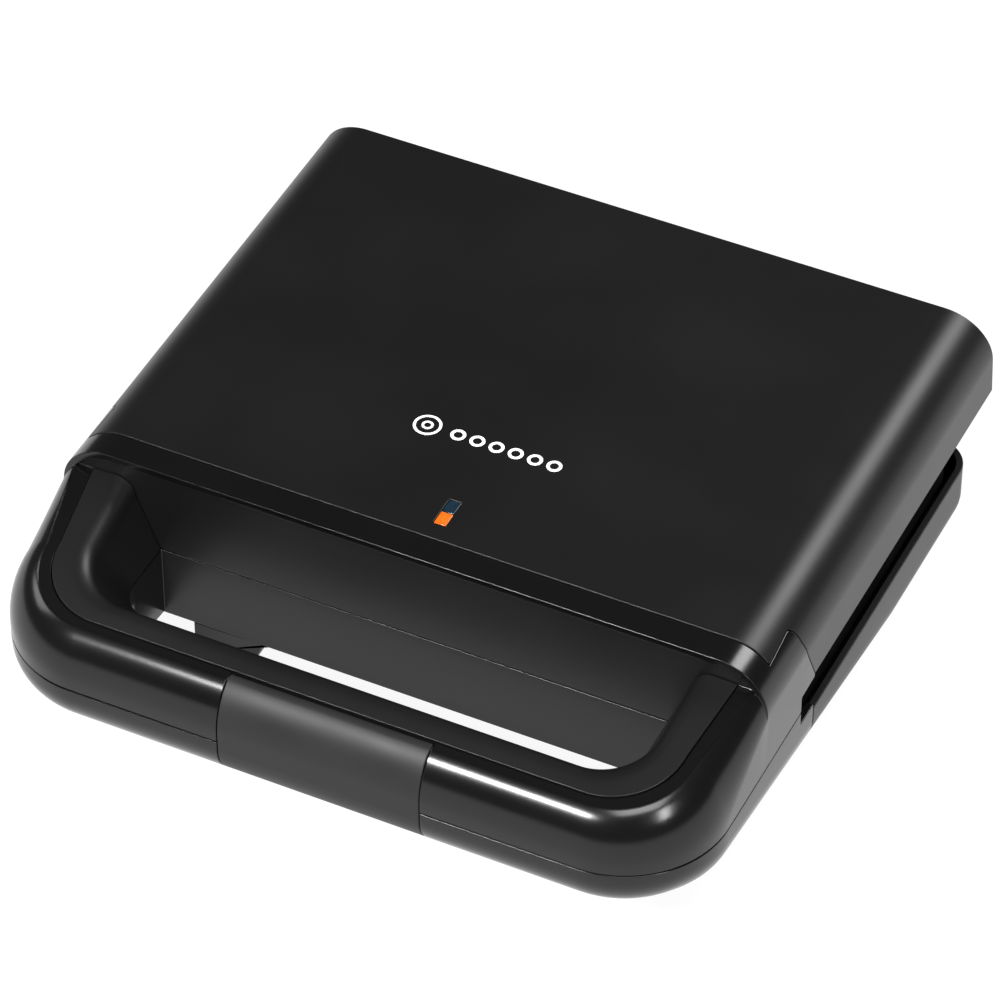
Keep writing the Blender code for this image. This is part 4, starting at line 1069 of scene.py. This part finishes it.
# %% [markdown]
# ## Feet, cord inlet and cord hook
# The feet are rubber pucks with a rounded tread and a dished sole, taller at the front where the underside
# rises. The cord inlet is a ribbed rubber bush, empty here. A nylon hook under the front left corner holds
# the lead when the appliance is put away.

# %% Feet
FOOT_X, FOOT_TOP, FOOT_SOLE = 92 * MM, 8 * MM, 6.6 * MM


def make_foot(name, side, distance, node):
    tall = underside(distance) - GAP - 2 * MM
    profile = [(0, tall), (FOOT_TOP, tall)] + arc((FOOT_SOLE - 1 * MM, 1 * MM), 1 * MM, 0, -90, 6)
    profile += [(FOOT_SOLE - 2 * MM, 0), (FOOT_SOLE - 2.6 * MM, 0.5 * MM), (0, 0.5 * MM)]
    foot = turned(name, profile, (side * FOOT_X, back(distance), 0), facets=48)
    for vert in foot.data.vertices:
        if vert.co.z > 0.9 * tall:
            vert.co.z = underside(vert.co.y + DEPTH / 2) - GAP
    hand_over(soften(foot, angle=45), RUBBER, "base", "rubber", node)


for side, word in ((-1, "left"), (1, "right")):
    for distance, where in ((93 * MM, "front"), (206 * MM, "rear")):
        make_foot(f"rubber_foot_{where}_{word}", side, distance, f"{where}_foot_{word}")

# %% Cord inlet and hook
BORE, NECK = 3.4, 5.0
bush_profile = [
    (BORE, -4.5), (BORE, 5.6), (BORE + 0.4, 6.0), (5.2, 6.0), (5.6, 5.6), (5.9, 4.9), (5.2, 4.5), (6.3, 4.1),
    (6.5, 3.4), (5.7, 3.0), (6.8, 2.6), (7.0, 1.9), (6.2, 1.5), (7.3, 1.2), (7.4, 0.3), (NECK, 0.3),
    (NECK, -4.5), (BORE, -4.5),
]
bush = turned("cord_bush", [(r * MM, h * MM) for r, h in bush_profile], CORD_PLACE, "Y", 48)
hand_over(soften(bush, 0.15 * MM, 2, 30), RUBBER, "base", "rubber", "cord_inlet_bush")

hook_top = underside(70 * MM) - 1 * MM
hook = [(-77.6, 6), (-75.6, 4), (-60, 4), (-56.5, 7.5), (-54.6, 12), (-53, 15.2), (-50.2, 17.6)]
hook = [(-77.6 * MM, hook_top)] + [(x * MM, z * MM) for x, z in hook] + [(-46.3 * MM, hook_top)]


def to_underside(point):
    roof = underside(point.y + DEPTH / 2) - GAP
    return Vector((point.x, point.y, roof if point.z > hook_top - 0.1 * MM else point.z))


hook = prism("lead_hook", hook, "Y", back(64.5 * MM), back(75 * MM), to_underside)
hand_over(soften(hook, 0.5 * MM, 3, 25), NYLON, "base", "black_nylon", "cord_clip")

# %% [markdown]
# ## The hinges
# Each hinge is a pressed bracket with two ears on the housing, an angled arm under the cover and a riveted
# pin. The bend at the arm's elbow is a rounded outline; the rims are rolled over by the press.

# %% Hinges
HINGE_X, HINGE_BACK, KNUCKLE, LEAF = 60 * MM, 234.5 * MM, 4 * MM, 2 * MM
EAR_HALF, ARM_HALF = 11 * MM, 5 * MM
hinge_axis = (back(HINGE_BACK), PARTING)


def make_hinge(side, word):
    centre, wall, foot = side * HINGE_X, back(HOUSING_REAR) + GAP, HOUSING_RIM - 16 * MM
    ear = arc(hinge_axis, KNUCKLE, -60, 180, 28)
    ear += [(wall, PARTING - 2 * MM), (wall, foot), (wall + LEAF, foot), (wall + LEAF, PARTING - 6 * MM)]
    lower = prism(f"hinge_ears_{word}", ear, "X", centre - EAR_HALF, centre + EAR_HALF)
    gap = box("gap", (centre - ARM_HALF - SEAM, wall - 5 * MM, HOUSING_RIM - 1 * MM),
              (centre + ARM_HALF + SEAM, back(DEPTH), PARTING + 10 * MM))
    low, end = PARTING + 13.2 * MM, back(206 * MM)
    arm = arc(hinge_axis, KNUCKLE, -180, 30, 24)
    arm += arc((hinge_axis[0] - 1.5 * MM, low - 0.5 * MM), 2.5 * MM, 0, 90, 8)
    arm += [(end, low + LEAF), (end, low)]
    arm += arc((hinge_axis[0] - KNUCKLE - 2 * MM, low - 2 * MM), 2 * MM, 90, 0, 6)
    upper = prism(f"hinge_arm_{word}", arm, "X", centre - ARM_HALF, centre + ARM_HALF)
    bores = [rod("bore", 1.55 * MM, (centre, *hinge_axis), 40 * MM, "X") for _ in range(2)]
    carve(lower, "DIFFERENCE", gap, bores[0])
    carve(upper, "DIFFERENCE", bores[1])
    hand_over(soften(lower, 0.25 * MM), ZINC_STEEL, "base", "hinge_steel", f"hinge_bracket_lower_{word}")
    hand_over(soften(upper, 0.25 * MM), ZINC_STEEL, "lid", "hinge_steel", f"hinge_bracket_upper_{word}")
    end_dome = [(0, 12), (0.9, 11.9), (1.35, 11.5), (1.5, 10.9)]
    pin = [(r * MM, h * MM) for r, h in end_dome] + [(r * MM, -h * MM) for r, h in reversed(end_dome)]
    rivet = turned(f"rivet_pin_{word}", pin, (centre, *hinge_axis), "X")
    hand_over(rivet, ZINC_STEEL, "base", "hinge_steel", f"hinge_pin_{word}")


for side, word in ((-1, "left"), (1, "right")):
    make_hinge(side, word)

# %% [markdown]
# ## The heating elements
# A heater is a steel tube that follows a path: in at the rear, round the front bends and back. A second
# Geometry Nodes tree carries a circle along the curve, with the tube's radius as a named input.

# %% Heating elements
def make_tube_tree():
    tree, given, result = new_tree("tube_along_path", (
        ("Radius", "NodeSocketFloat"), ("Facets", "NodeSocketInt"), ("Finish", "NodeSocketMaterial"),
    ))
    ring = add(tree, "GeometryNodeCurvePrimitiveCircle", {
        "Resolution": given["Facets"], "Radius": given["Radius"]}).outputs["Curve"]
    tube = add(tree, "GeometryNodeCurveToMesh", {
        "Curve": given["Geometry"], "Profile Curve": ring, "Fill Caps": True}).outputs["Mesh"]
    real = add(tree, "GeometryNodeRealizeInstances", {"Geometry": tube}).outputs["Geometry"]
    dressed = add(tree, "GeometryNodeSetMaterial", {"Geometry": real, "Material": given["Finish"]})
    tree.links.new(dressed.outputs["Geometry"], result.inputs["Geometry"])
    return tree


TUBE_TREE = make_tube_tree()
TUBE, REACH, BEND = 3.2 * MM, 74 * MM, 16 * MM


def make_element(name, side, body, node):
    height = PARTING - side * (PLATE_SPLIT + RING_DEPTH + PLATE_SKIN + GAP + TUBE)
    right = [(REACH, 208 * MM)] + list(reversed(arc((REACH - BEND, 120 * MM + BEND), BEND, 270, 360, 12)))
    route = right + [(-x, y) for x, y in reversed(right)]
    path = bpy.data.curves.new("heater_path", "CURVE")
    path.dimensions = "3D"
    spline = path.splines.new("POLY")
    spline.points.add(len(route) - 1)
    for point, (x, y) in zip(spline.points, route):
        point.co = (x, back(y), height, 1)
    line = new_object("heater_path", path)
    attach_tree(line, TUBE_TREE, Radius=TUBE, Facets=24, Finish=SHEATH)
    mesh = bpy.data.meshes.new_from_object(line.evaluated_get(bpy.context.evaluated_depsgraph_get()))
    bpy.data.objects.remove(line, do_unlink=True)
    tube = new_object(name, mesh)
    tube.data.shade_smooth()
    tube.data.set_sharp_from_angle(angle=math.radians(50))
    hand_over(tube, SHEATH, body, "element_sheath", node)


make_element("heater_tube_lower", 1, "base", "lower_heating_element")
make_element("heater_tube_upper", -1, "lid", "upper_heating_element")

# %% [markdown]
# ## Parts that keep their shape
# The pieces deep inside are right as they were drawn. They only trade their plain colours for real finishes.

# %% Finishes for the inner parts
INNER_FINISHES = {
    "lower_heat_reflector": BRIGHT_SHEET,
    "upper_heat_reflector": BRIGHT_SHEET,
    "terminal_block": CERAMIC,
    "thermostat": CERAMIC,
    "thermal_fuse": ZINC_STEEL,
    "latch_pin": ZINC_STEEL,
    "lamp_holder": NYLON,
    "power_lamp": LAMP_GLASS,
    "ready_lamp": LAMP_GLASS,
}
for node, finish in INNER_FINISHES.items():
    for slot_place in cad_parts[node].material_slots:
        slot_place.material = finish
print(len(INNER_FINISHES), "inner parts dressed")
